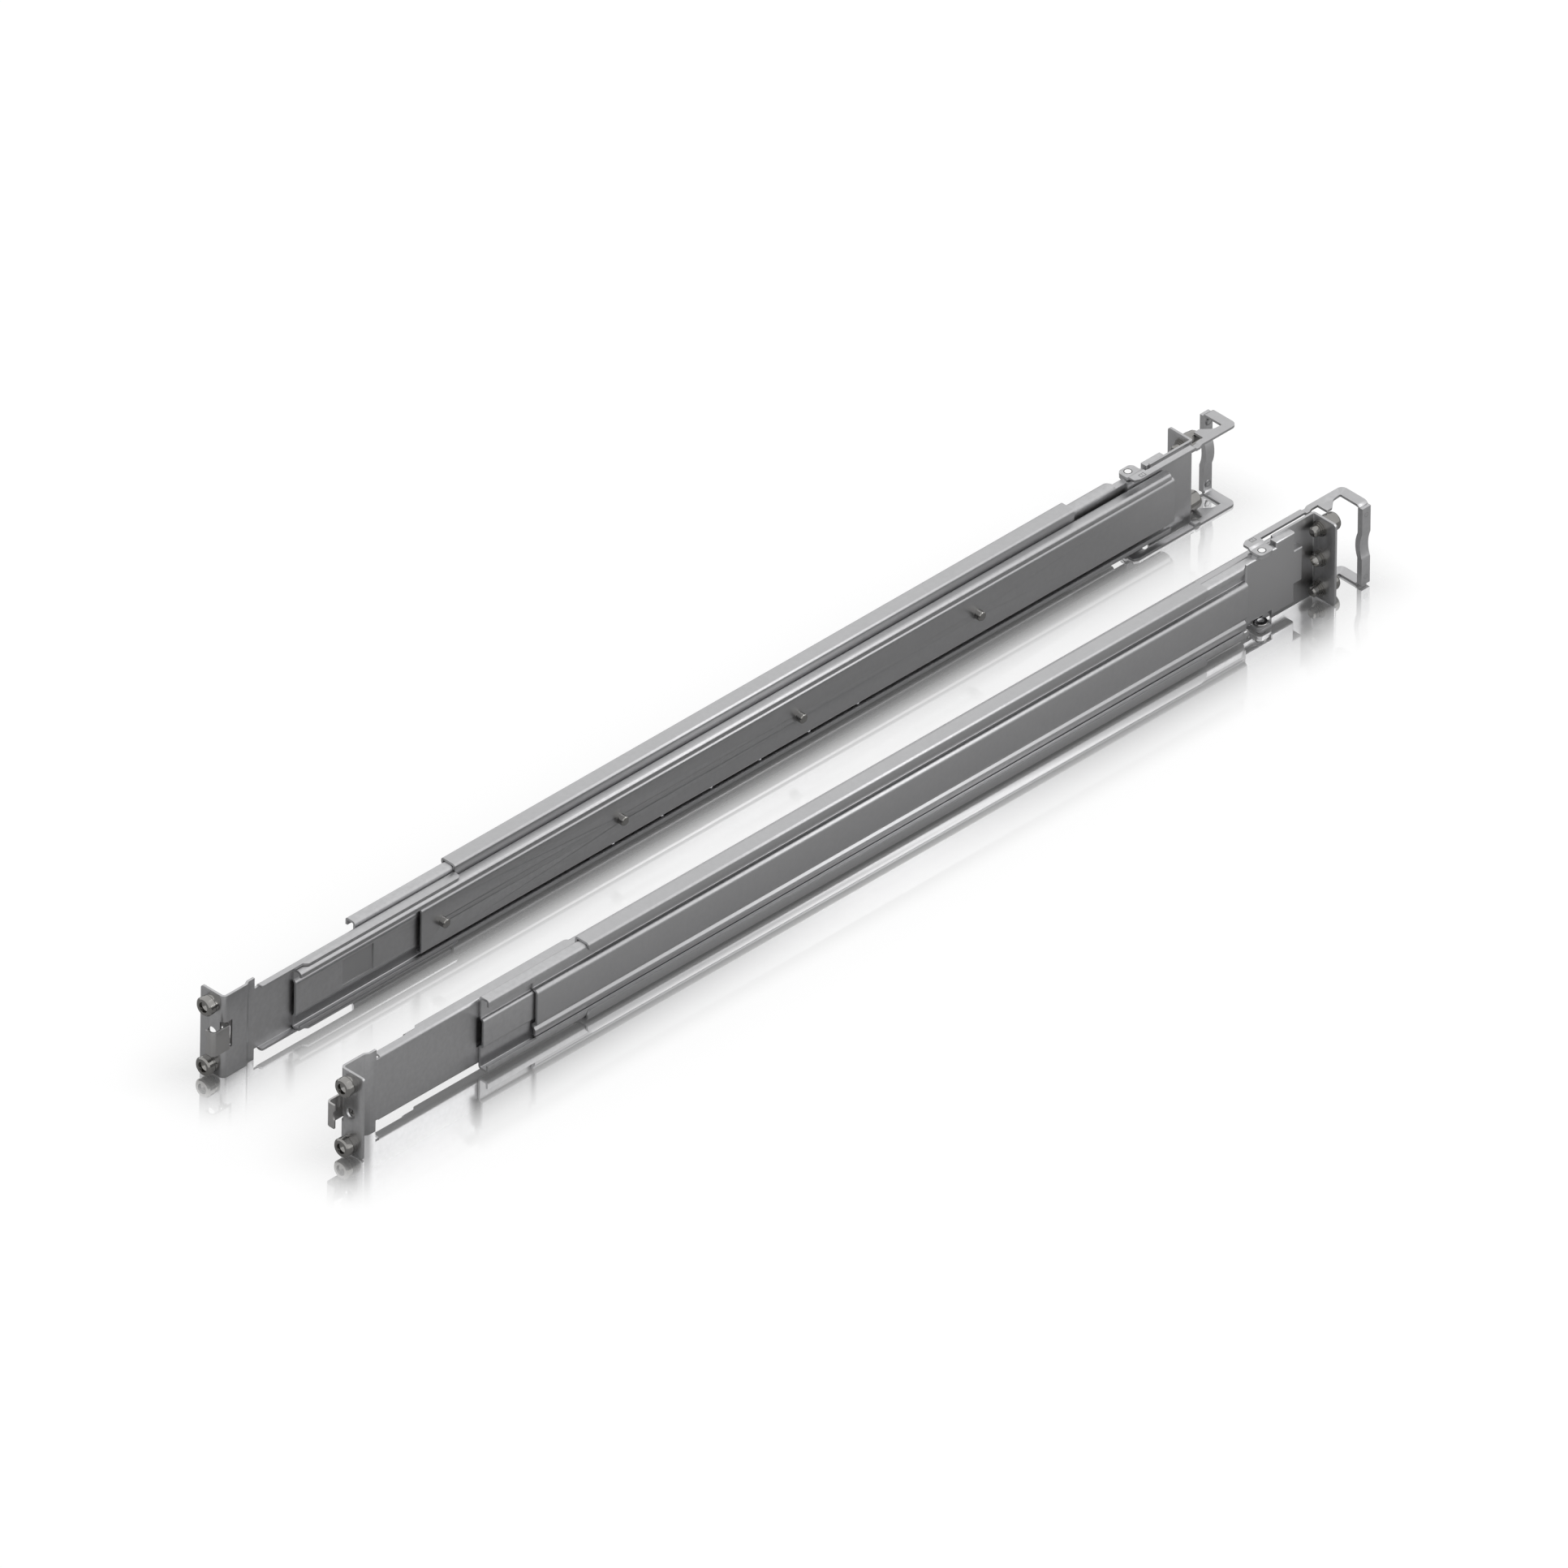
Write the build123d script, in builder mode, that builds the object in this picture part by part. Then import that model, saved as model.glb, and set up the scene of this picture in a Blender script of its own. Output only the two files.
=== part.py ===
from build123d import *
import os

# Sliding server rail pair. Two mirrored rails carry a server in a rack by its sides.
# Each rail has a front unit with a ball slide, a rear unit that telescopes on it to suit
# the depth of the rack, a sprung hook at the front post and a sprung latch at the rear post.
# Sizes are millimetres. X is across the rack, Y runs from the front to the back, Z is up.
# The right rail is drawn, and the left one is its mirror image.

os.makedirs("parts", exist_ok=True)

# Whole rail
rail_spread = 70.9  # between the server sides of the two rails as they lie side by side
rail_height = 43.2
rail_depth = 595.35  # from the front flange's face to the rear flange's face
hole_pitch = 31.75  # between the outer holes of one rack unit
pin_out = 6.85  # from a rail's server side to the line of its rack holes

# Sheets and fits
sheet = 1.2  # all rolled and folded plates
thin_sheet = 1.1  # inner slide
spring_sheet = 1.0  # front hook
slide_play = 0.1  # between flat sheets that slide or turn on each other
pivot_play = 0.05  # on the radius of a pivot hole
pivot_clear = 0.3  # round a coil in its window
bend = 2.4  # outer radius of a folded corner
roll_bend = 1.5  # outer radius of a rolled channel's corner
soft_bend = 1.8  # outer radius of a shallow fold
tight_bend = 0.4  # inner radius of a shallow fold

# Front bracket
flange_out = 14.2
side_plate_end = 14.3
joggle_end = 16.2
head_end = 20.0
relief_width = 2.4
relief_height = 16.0
arm_end = 142.3
arm_height = 17.3
arm_edge_front = 1.3  # free edge of the arm's flanges, towards the server
arm_edge_back = 3.3
arm_step = 47.0
step_run = 2.0
flange_corner = 1.5
arm_nose_round = 1.2
step_round = 1.0
arm_tail_round = 2.5
hook_window_low = 6.5
hook_window_high = 7.7
hook_window_past = 0.35  # behind the hook's pivot
arm_window_start = 81.5
arm_window_end = 122.0
arm_window_height = 8.0
screw_hole = 2.65  # radius of the threaded holes between the pins

# Front and rear rack pins
front_pin_radius = 4.6
front_pin_length = 5.9
front_collar_radius = 4.4
front_collar_length = 2.1
pin_groove = 0.4
front_socket_radius = 2.5
front_socket_depth = 3.4
front_socket_cone = 1.7
pin_shank = 2.9
pin_tail_radius = 4.0
pin_tail = 0.8
pin_tail_edge = 0.4
rear_pin_radius = 4.6
rear_pin_length = 7.45
rear_pin_seat = 3.8  # full radius, where the pin fills the post's hole
rear_pin_taper = 0.3  # off the radius from there to the end's edge
pin_edge = 0.7
rear_ring_radii = (3.9, 3.4, 2.9)
ring_step = 0.75
rear_tail_radius = 2.45
rear_tail_length = 5.4
rear_collar_length = 3.5

# Front hook and its pivot
hook_reach = 7.3
hook_height = 12.5
hook_lip_out = 3.9
hook_pivot_out = 3.7
hook_pivot_along = 5.0
hook_pin_radius = 1.2
hook_knuckle_start = 3.2
hook_notch_radius = 4.0
hook_notch_depth = 0.8
hook_notch_up = 0.8
lug_up = 9.6
lug_radius = 3.0
pin_head = 0.6
hook_coils = 3

# Slide channel and the inner slide that runs in it
slide_start = 43.0
slide_short = 19.05  # from its end to the rear flange's face
slide_height = 15.8
slide_lip_out = 4.5
slide_lip_edge = 12.8
slide_hat_height = 8.2
slide_hat_rise = 1.4
slide_bend = 1.9
pad_start = 71.5
pad_length = 19.0
pad_height = 6.7
pad_depth = 0.6
inner_start = 117.4
inner_short = 16.55
inner_face_out = 4.1
inner_track = 12.3
inner_face_height = 11.0
inner_edge_out = 0.5
stud_start = 129.9
stud_pitch = 109.4
stud_count = 4
stud_radius = 2.3
stud_length = 3.1
stud_shank = 1.6
stud_tail = 0.6

# Ball cages
ball_radius = 1.0
ball_count = 6
ball_out = 1.65
cage_start = 222.0
cage_length = 180.0
cage_width = 2.8
cage_sheet = 0.6

# Sleeve channel, and the rivets that join it to the slide channel
sleeve_gap = 0.45  # behind the front bracket's arm
sleeve_short = 73.05
sleeve_height = 20.7
sleeve_lip_out = 9.75
sleeve_lip = 5.4
sleeve_lip_corner = 3.5
front_rivets = (131.0, 165.0)
back_rivets = (252.3, 132.3, 17.3)  # before the sleeve's end
rivet_shank = 1.9
rivet_head_radius = 3.0
rivet_head = 0.8
dimple_radius = 4.0

# Depth channel, which slides in the sleeve
depth_start = 82.85
lip_short = 34.9  # from the lips' end to the tongue's end
ear_length = 7.8
depth_height = 19.3
depth_bend = 1.7  # outer radius where the flanges meet the web
depth_lip_out = 8.4
depth_lip = 3.7
depth_hat_height = 6.6
depth_hat_rise = 1.8
hat_bend = 1.4
crease = 0.3
web_height = 17.5
tongue_to_face = 11.45  # from the tongue's end to the rear flange's outer face
lip_round = 4.6

# Pressed tail of the depth channel, a shallow cup that stands on the rear bracket's plate
tail_out = 6.3
tail_notch = 14.0  # its lower edge, beside the lower ear
tail_notch_past = 6.1  # from the latch pivot to the notch's end
tail_low = 16.4
tail_edge = 0.8
tab_top = 20.8
tab_short = 16.3  # from the tab's front edge to the tongue's end
tongue_length = 4.9
tongue_top = 10.9
tongue_low = 6.9

# Stiffener nested in the depth channel
stiff_start = 30.55  # behind the front end of the depth channel
stiff_out = 7.9
stiff_top = 17.4
stiff_hat_height = 9.3
groove_out = 5.9
groove_top = 10.1
groove_bottom = 11.2
band_top = 12.4
band_bottom = 17.4
band_out = 6.9
stiff_corner = 3.0
band_bend = 1.3

# Rear bracket
rear_plate_length = 40.35
rear_notch_length = 14.0
rear_notch_height = 18.6
rear_flange_out = 15.75
rear_bend = 1.6

# Rear latch, with lengths from its pivot
pivot_out = 5.5
pivot_to_face = 35.95  # from the latch pivot to the rear flange's outer face
eyelet_radius = 1.95
eyelet_rim = 2.9
eyelet_rim_thick = 0.5
ear_drop = 1.0
ear_out = 8.6
ear_front = 3.8
ear_back = 4.9
strip_inner = 3.5
strip_outer = 0.45
strip_chamfer = 2.5
strip_round = 1.0
dip_start = 32.6
dip_end = 36.0
dip_run = 0.8
dip_depth = 1.0
tooth_start = 40.1
tooth_out = 5.2
tooth_flat = 3.2
tooth_root = 1.1
root_round = 3.0
tooth_end = 48.1
cross_front = 52.8
cross_out = 0.75
latch_end = 58.1
latch_corner = 3.0
grip_out = 14.25
grip_thick = 2.8
grip_bow = 1.3
grip_bow_height = 6.6
grip_top = 20.3
grip_inset = 0.1
tab_low = 13.0
tab_side = 0.7
grip_rivet_up = 16.4
grip_rivet_radius = 1.2
grip_rivet_head = 1.9
grip_rivet_thick = 0.4
latch_coils = 1
latch_wire = 0.93
latch_coil_radius = 2.95
coil_window_width = 5.8

# Worked out from the above
half_height = rail_height / 2
half_pitch = hole_pitch / 2
grip_reach = latch_end - pivot_to_face
front_y = -(rail_depth + grip_reach - hook_reach) / 2
sleeve_web = sheet  # server side of the sleeve's web, against the slide channel
plate_out = sheet + slide_play  # server side of the rear bracket's plate
depth_web = plate_out + sheet  # server side of the depth channel's web
stiff_base = depth_web + sheet
slide_end = rail_depth - slide_short
inner_end = rail_depth - inner_short
sleeve_start = arm_end + sleeve_gap
sleeve_end = rail_depth - sleeve_short
rivet_places = [*front_rivets, *(sleeve_end - back for back in back_rivets)]
depth_end = rail_depth - tongue_to_face
depth_body_end = depth_end - lip_short
pivot_along = rail_depth - pivot_to_face
hook_knuckle = hook_pin_radius + pivot_play + spring_sheet  # radius of the rolled knuckle
hook_leg = hook_pivot_along - hook_knuckle + spring_sheet  # back of the leg that rolls into it
hook_window_end = hook_pivot_along + hook_window_past
arm_start = head_end + relief_width
ball_up = (inner_track + slide_height - sheet) / 2
ear_up = half_height - ear_drop - sheet
coil_window_top = sheet - depth_height + latch_coils * latch_wire + eyelet_rim_thick + pivot_clear
through = 2 * rail_height  # longer than any cut across a rail


def across(along):
    """Plane square to the right rail: outward, then up, facing the front."""
    return Plane(origin=(rail_spread / 2, front_y + along, half_height), x_dir=(1, 0, 0), z_dir=(0, -1, 0))


def beside(out):
    """Plane along the right rail: backward, then up, facing outward."""
    return Plane(origin=(rail_spread / 2 + out, front_y, half_height), x_dir=(0, 1, 0), z_dir=(1, 0, 0))


def above(up):
    """Level plane on the right rail: outward, then backward, facing up."""
    return Plane(origin=(rail_spread / 2, front_y, half_height + up), x_dir=(1, 0, 0), z_dir=(0, 0, 1))


def line_along(out, up):
    """Axis that runs backward along the right rail."""
    return Axis((rail_spread / 2 + out, front_y, half_height + up), (0, 1, 0))


def line_up(out, along):
    """Vertical axis on the right rail."""
    return Axis((rail_spread / 2 + out, front_y + along, half_height), (0, 0, 1))


def line_out(along, up):
    """Axis that points outward from the right rail."""
    return Axis((rail_spread / 2, front_y + along, half_height + up), (1, 0, 0))


def folded(plane, points, bends, side, thick=sheet):
    """Section of a folded sheet, drawn along one of its faces."""
    with BuildSketch(plane) as section:
        with BuildLine():
            FilletPolyline(*points, radius=bends)
            offset(amount=thick, side=side)
        make_face()
    return section.sketch


def block(plane, start, end, low, high):
    """Rectangle from its two corners on a plane."""
    with BuildSketch(plane) as area:
        with Locations(((start + end) / 2, (low + high) / 2)):
            Rectangle(end - start, high - low)
    return area.sketch


def outline(plane, points, rounds=()):
    """Closed outline whose corners, given by number, are rounded."""
    with BuildSketch(plane) as area:
        with BuildLine():
            Polyline(*points, close=True)
        make_face()
        for number, radius in rounds:
            fillet(area.vertices().sort_by_distance(Vector(*points[number]))[0], radius)
    return area.sketch


def turned(plane, points, axis):
    """Solid of revolution from a closed outline."""
    with BuildPart() as part:
        with BuildSketch(plane):
            with BuildLine():
                Polyline(*points, close=True)
            make_face()
        revolve(axis=axis)
    return part.part


def coil_points(inner, outer, low, wire, turns):
    """Outline of a closed coil's wall: straight inside, one crest for each turn outside."""
    points = [(inner, low), (outer - wire / 3, low)]
    for turn in range(turns):
        foot = low + turn * wire
        points += [(outer, foot + wire / 3), (outer, foot + 2 * wire / 3), (outer - wire / 3, foot + wire)]
    points.append((inner, low + turns * wire))
    return points


def write_pair(piece, name):
    """Write a piece of the right rail and its mirror image on the left rail."""
    with BuildPart() as twin:
        mirror(piece.part, about=Plane.YZ)
    for part, side in ((piece.part, "right"), (twin.part, "left")):
        part.label = f"{name}_{side}"
        export_step(part, f"parts/{name}_{side}.step")


# Front bracket: flange, side plate, joggle and a channel-shaped arm in one folded sheet
with BuildPart() as front_bracket:
    arm_points = [(-arm_edge_back, arm_height), (2 * sheet, arm_height),
                  (2 * sheet, -arm_height), (-arm_edge_back, -arm_height)]
    extrude(folded(across(arm_end), arm_points, roll_bend, Side.RIGHT), amount=arm_end - head_end)
    edge_points = [(2 * sheet, head_end), (0, head_end), (0, arm_start), (-arm_edge_front, arm_start),
                   (-arm_edge_front, arm_step), (-arm_edge_back, arm_step + step_run),
                   (-arm_edge_back, arm_end), (2 * sheet, arm_end)]
    edge_rounds = [(3, arm_nose_round), (4, step_round), (5, step_round), (6, arm_tail_round)]
    extrude(outline(above(-half_height), edge_points, edge_rounds), amount=rail_height, mode=Mode.INTERSECT)
    head_points = [(flange_out, 0), (0, 0), (0, side_plate_end), (sheet, joggle_end), (sheet, head_end)]
    head = folded(above(-half_height), head_points, [bend, soft_bend, soft_bend], Side.RIGHT)
    extrude(head, amount=rail_height)
    fillet(front_bracket.edges().filter_by(Axis.Y).group_by(Axis.X)[-1], flange_corner)
    for up in (relief_height, -half_height):
        relief = block(beside(-through / 2), head_end, arm_start, up, up + half_height - relief_height)
        extrude(relief, amount=through, mode=Mode.SUBTRACT)
    hook_window = block(beside(-sheet), -sheet, hook_window_end, -hook_window_low, hook_window_high)
    extrude(hook_window, amount=3 * sheet, mode=Mode.SUBTRACT)
    arm_window = block(beside(0), arm_window_start, arm_window_end, -arm_window_height, arm_window_height)
    extrude(arm_window, amount=3 * sheet, mode=Mode.SUBTRACT)
    for up in (lug_up, -lug_up - sheet):
        with BuildSketch(above(up)):
            with Locations((hook_pivot_out, hook_pivot_along)):
                Circle(lug_radius)
            with Locations(((sheet + hook_pivot_out) / 2, hook_pivot_along)):
                Rectangle(hook_pivot_out - sheet, 2 * lug_radius)
            with Locations((hook_pivot_out, hook_pivot_along)):
                Circle(hook_pin_radius, mode=Mode.SUBTRACT)
        extrude(amount=sheet)
    with BuildSketch(across(0)):
        with Locations((pin_out, half_pitch), (pin_out, -half_pitch)):
            Circle(pin_shank)
        with Locations((pin_out, 0)):
            Circle(screw_hole)
    extrude(amount=-sheet, mode=Mode.SUBTRACT)
    with BuildSketch(beside(sheet)):
        with Locations((rivet_places[0], 0)):
            Circle(rivet_shank)
    extrude(amount=sheet, mode=Mode.SUBTRACT)
write_pair(front_bracket, "front_bracket")

# Front pins: each passes through a rack hole and is riveted behind the flange
with BuildPart() as front_pins:
    for up in (half_pitch, -half_pitch):
        tip = -front_pin_length
        neck = -front_collar_length
        socket_wall = tip + front_socket_depth - front_socket_cone
        pin_points = [(0, tip + front_socket_depth), (front_socket_radius, socket_wall),
                      (front_socket_radius, tip), (front_pin_radius - pin_edge, tip),
                      (front_pin_radius, tip + pin_edge), (front_pin_radius, neck - pin_groove),
                      (front_pin_radius - pin_groove, neck - pin_groove),
                      (front_pin_radius - pin_groove, neck), (front_collar_radius, neck),
                      (front_collar_radius, 0), (pin_shank, 0), (pin_shank, sheet),
                      (pin_tail_radius, sheet), (pin_tail_radius - pin_tail_edge, sheet + pin_tail),
                      (0, sheet + pin_tail)]
        shifted = [(pin_out + radius, along) for radius, along in pin_points]
        add(turned(above(up), shifted, line_along(pin_out, up)))
write_pair(front_pins, "front_pins")

# Front hook: spring steel leaf with a lip in front and a leg that rolls into two knuckles
with BuildPart() as front_hook:
    hook_points = [(hook_lip_out, -hook_reach), (-spring_sheet - 2 * slide_play, -hook_reach),
                   (-spring_sheet - 2 * slide_play, hook_leg),
                   (hook_pivot_out - hook_pin_radius / 2, hook_leg)]
    hook_plan = folded(above(-hook_height / 2), hook_points, [bend, soft_bend], Side.RIGHT, spring_sheet)
    extrude(hook_plan, amount=hook_height)
    for up in (hook_knuckle_start, -hook_height / 2):
        with BuildSketch(above(up)):
            with Locations((hook_pivot_out, hook_pivot_along)):
                Circle(hook_knuckle)
        extrude(amount=hook_height / 2 - hook_knuckle_start)
    with BuildSketch(above(-hook_height / 2)):
        with Locations((hook_pivot_out, hook_pivot_along)):
            Circle(hook_pin_radius + pivot_play)
    extrude(amount=hook_height, mode=Mode.SUBTRACT)
    with BuildSketch(across(-hook_reach)):
        with Locations((hook_lip_out + hook_notch_radius - hook_notch_depth, hook_notch_up)):
            Circle(hook_notch_radius)
    extrude(amount=-spring_sheet, mode=Mode.SUBTRACT)
write_pair(front_hook, "front_hook")

# Hook pivot: pin through both lugs with a formed head at each end
with BuildPart() as hook_pivot:
    lug_top = lug_up + sheet
    pivot_points = [(0, -lug_top - pin_head), (hook_pin_radius + pin_head, -lug_top - pin_head),
                    (hook_pin_radius + pin_head, -lug_top), (hook_pin_radius, -lug_top),
                    (hook_pin_radius, lug_top), (hook_pin_radius + pin_head, lug_top),
                    (hook_pin_radius + pin_head, lug_top + pin_head), (0, lug_top + pin_head)]
    shifted = [(hook_pivot_out + radius, up) for radius, up in pivot_points]
    add(turned(across(hook_pivot_along), shifted, line_up(hook_pivot_out, hook_pivot_along)))
write_pair(hook_pivot, "hook_pivot")

# Hook spring: closed coil on the pivot, between the upper knuckle and the upper lug
with BuildPart() as hook_spring:
    coil_low = hook_height / 2 + slide_play
    hook_wire = (lug_up - coil_low - slide_play) / hook_coils
    coil = coil_points(hook_pin_radius + slide_play, hook_knuckle, coil_low, hook_wire, hook_coils)
    shifted = [(hook_pivot_out + radius, up) for radius, up in coil]
    add(turned(across(hook_pivot_along), shifted, line_up(hook_pivot_out, hook_pivot_along)))
write_pair(hook_spring, "hook_spring")

# Slide channel: the outer member of the ball slide, with a hat along its middle
with BuildPart() as slide_channel:
    slide_points = [(-slide_lip_out, slide_lip_edge), (-slide_lip_out, slide_height), (sheet, slide_height),
                    (sheet, slide_hat_height + slide_hat_rise), (sheet - slide_hat_rise, slide_hat_height)]
    slide_points += [(out, -up) for out, up in reversed(slide_points)]
    slide_bends = [slide_bend, slide_bend, tight_bend, soft_bend, soft_bend, tight_bend,
                   slide_bend, slide_bend]
    section = folded(across(slide_end), slide_points, slide_bends, Side.RIGHT)
    extrude(section, amount=slide_end - slide_start)
    pad = block(beside(-slide_hat_rise), pad_start, pad_start + pad_length, -pad_height, pad_height)
    extrude(pad, amount=pad_depth, mode=Mode.SUBTRACT)
    hat_foot = dimple_radius + slide_hat_rise
    for along in rivet_places:
        with BuildSketch(beside(-slide_hat_rise)):
            with Locations((along, 0)):
                Circle(hat_foot)
        extrude(amount=sheet, mode=Mode.SUBTRACT)
    for along in rivet_places:
        dimple_points = [(sheet, along + rivet_shank), (sheet, along + dimple_radius),
                         (sheet - slide_hat_rise, along + hat_foot), (-slide_hat_rise, along + hat_foot),
                         (-slide_hat_rise, along + hat_foot - sheet / 2),
                         (0, along + dimple_radius - sheet / 2), (0, along + rivet_shank)]
        add(turned(above(0), dimple_points, line_out(along, 0)))
write_pair(slide_channel, "slide_channel")

# Inner slide: the member that carries the server
with BuildPart() as inner_slide:
    inner_points = [(-inner_edge_out, inner_track), (-ball_out - ball_radius, inner_track),
                    (-inner_face_out, inner_face_height)]
    inner_points += [(out, -up) for out, up in reversed(inner_points)]
    inner_bends = [soft_bend, soft_bend, soft_bend, soft_bend]
    section = folded(across(inner_end), inner_points, inner_bends, Side.LEFT, thin_sheet)
    extrude(section, amount=inner_end - inner_start)
    with BuildSketch(beside(-inner_face_out)):
        for number in range(stud_count):
            with Locations((stud_start + number * stud_pitch, 0)):
                Circle(stud_shank)
    extrude(amount=thin_sheet, mode=Mode.SUBTRACT)
write_pair(inner_slide, "inner_slide")

# Chassis studs: the server's side panel hangs on these
with BuildPart() as chassis_studs:
    for number in range(stud_count):
        along = stud_start + number * stud_pitch
        seat = -inner_face_out
        back = seat + thin_sheet
        stud_points = [(seat - stud_length, 0), (seat - stud_length, stud_radius - tight_bend),
                       (seat - stud_length + tight_bend, stud_radius), (seat, stud_radius),
                       (seat, stud_shank), (back, stud_shank), (back, stud_radius),
                       (back + stud_tail, stud_radius - stud_tail), (back + stud_tail, 0)]
        shifted = [(out, along + radius) for out, radius in stud_points]
        add(turned(above(0), shifted, line_out(along, 0)))
write_pair(chassis_studs, "chassis_studs")

# Ball cages: an upper and a lower strip with a hole for each ball
ball_pitch = cage_length / ball_count
ball_places = [cage_start + (number + 0.5) * ball_pitch for number in range(ball_count)]
with BuildPart() as ball_cages:
    for up in (ball_up, -ball_up):
        with BuildSketch(above(up - cage_sheet / 2)):
            with Locations((-ball_out, cage_start + cage_length / 2)):
                Rectangle(cage_width, cage_length)
            with Locations([(-ball_out, along) for along in ball_places]):
                Circle(ball_radius + pivot_play, mode=Mode.SUBTRACT)
        extrude(amount=cage_sheet)
write_pair(ball_cages, "ball_cages")

with BuildPart() as slide_balls:
    for up in (ball_up, -ball_up):
        for along in ball_places:
            with Locations(above(up).from_local_coords((-ball_out, along, 0))):
                Sphere(ball_radius)
write_pair(slide_balls, "slide_balls")

# Sleeve channel: riveted to the outside of the slide channel, it guides the depth channel
with BuildPart() as sleeve_channel:
    lip_edge = sleeve_height - sleeve_lip
    sleeve_points = [(sleeve_lip_out, lip_edge), (sleeve_lip_out, sleeve_height),
                     (sleeve_web, sleeve_height)]
    sleeve_points += [(out, -up) for out, up in reversed(sleeve_points)]
    section = folded(across(sleeve_end), sleeve_points, roll_bend, Side.LEFT)
    extrude(section, amount=sleeve_end - sleeve_start)
    lip_corners = sleeve_channel.edges().filter_by(Axis.X).group_by(Axis.X)[-1]
    fillet(lip_corners, sleeve_lip_corner)
    with BuildSketch(beside(sleeve_web)):
        with Locations([(along, 0) for along in rivet_places[1:]]):
            Circle(rivet_shank)
    extrude(amount=sheet, mode=Mode.SUBTRACT)
write_pair(sleeve_channel, "sleeve_channel")

# Sleeve rivets: domed heads in the dimples, flush on the side where the depth channel slides
with BuildPart() as sleeve_rivets:
    for along in rivet_places:
        rivet_points = [(-rivet_head, along), (-rivet_head, along + rivet_head_radius - rivet_head),
                        (0, along + rivet_head_radius), (0, along + rivet_shank),
                        (2 * sheet, along + rivet_shank), (2 * sheet, along)]
        add(turned(above(0), rivet_points, line_out(along, 0)))
write_pair(sleeve_rivets, "sleeve_rivets")

# Depth channel: slides in the sleeve, and its ears at the back hold the latch
with BuildPart() as depth_channel:
    lip_edge = depth_height - depth_lip
    depth_points = [(depth_lip_out, lip_edge), (depth_lip_out, depth_height), (depth_web, depth_height),
                    (depth_web, depth_hat_height), (depth_web + depth_hat_rise, depth_hat_height)]
    depth_points += [(out, -up) for out, up in reversed(depth_points)]
    depth_bends = [roll_bend, depth_bend, hat_bend, crease, crease, hat_bend, depth_bend, roll_bend]
    section = folded(across(depth_body_end), depth_points, depth_bends, Side.LEFT)
    extrude(section, amount=depth_body_end - depth_start)
    rear_points = [(depth_lip_out, depth_height), (depth_web, depth_height),
                   (depth_web, -depth_height), (depth_lip_out, -depth_height)]
    ear_from = pivot_along - ear_length / 2
    ear_to = pivot_along + ear_length / 2
    web_end = pivot_along + tail_notch_past
    rear_section = folded(across(web_end), rear_points, depth_bend, Side.LEFT)
    extrude(rear_section, amount=web_end - depth_body_end)
    plan_points = [(depth_web, depth_start), (depth_lip_out, depth_start), (depth_lip_out, depth_body_end),
                   (stiff_base, depth_body_end), (stiff_base, ear_from), (depth_lip_out, ear_from),
                   (depth_lip_out, ear_to), (stiff_base, ear_to), (stiff_base, web_end),
                   (depth_web, web_end)]
    plan_rounds = [(2, lip_round), (5, bend), (6, bend)]
    extrude(outline(above(-half_height), plan_points, plan_rounds), amount=rail_height, mode=Mode.INTERSECT)
    for start, end in ((depth_body_end, ear_from), (ear_to, web_end)):
        for low, high in ((web_height, half_height), (-half_height, -web_height)):
            extrude(block(beside(depth_web), start, end, low, high), amount=through, mode=Mode.SUBTRACT)
    for up in (-depth_height, depth_height - sheet):
        with BuildSketch(above(up)):
            with Locations((pivot_out, pivot_along)):
                Circle(eyelet_radius)
        extrude(amount=sheet, mode=Mode.SUBTRACT)
    coil_window = block(beside(depth_web), pivot_along - coil_window_width / 2,
                        pivot_along + coil_window_width / 2, sheet - depth_height, coil_window_top)
    extrude(coil_window, amount=2 * sheet, mode=Mode.SUBTRACT)
    tab_from = depth_end - tab_short
    tab_to = depth_end - tongue_length
    ear_foot = depth_height - sheet
    tail_points = [(depth_body_end, -tail_notch), (web_end, -tail_notch), (web_end, -tail_low),
                   (tab_to, -tail_low), (tab_to, -tongue_low), (depth_end, -tongue_low),
                   (depth_end, tongue_top), (tab_to, tongue_top), (tab_to, tab_top),
                   (tab_from, tab_top), (tab_from, ear_foot), (depth_body_end, ear_foot)]
    with BuildPart() as tail:
        extrude(outline(beside(depth_web), tail_points), amount=tail_out - depth_web)
        fillet(tail.faces().sort_by(Axis.X)[-1].edges(), tail_edge)
    add(tail.part)
    with BuildSketch(beside(depth_web)):
        add(outline(beside(depth_web), tail_points))
        offset(amount=-sheet, kind=Kind.INTERSECTION, mode=Mode.REPLACE)
    extrude(amount=tail_out - sheet - depth_web, mode=Mode.SUBTRACT)
write_pair(depth_channel, "depth_channel")

# Stiffener: a rolled profile that backs the depth channel
with BuildPart() as stiffener:
    stiff_points = [(stiff_base + sheet, stiff_top), (stiff_base + sheet, stiff_hat_height),
                    (stiff_out, stiff_hat_height), (stiff_out, -stiff_hat_height),
                    (groove_out, -groove_top), (groove_out, -groove_bottom),
                    (band_out, -band_top), (band_out, -band_bottom), (stiff_base, -band_bottom)]
    stiff_bends = [tight_bend, bend, soft_bend, tight_bend, tight_bend, band_bend, soft_bend]
    section = folded(across(depth_body_end), stiff_points, stiff_bends, Side.RIGHT)
    stiff_from = depth_start + stiff_start
    extrude(section, amount=depth_body_end - stiff_from)
    side_points = [(stiff_from, -band_bottom), (depth_body_end, -band_bottom),
                   (depth_body_end, stiff_top), (stiff_from, stiff_top)]
    side_view = outline(beside(0), side_points, [(0, stiff_corner)])
    extrude(side_view, amount=through, mode=Mode.INTERSECT)
write_pair(stiffener, "stiffener")

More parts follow.
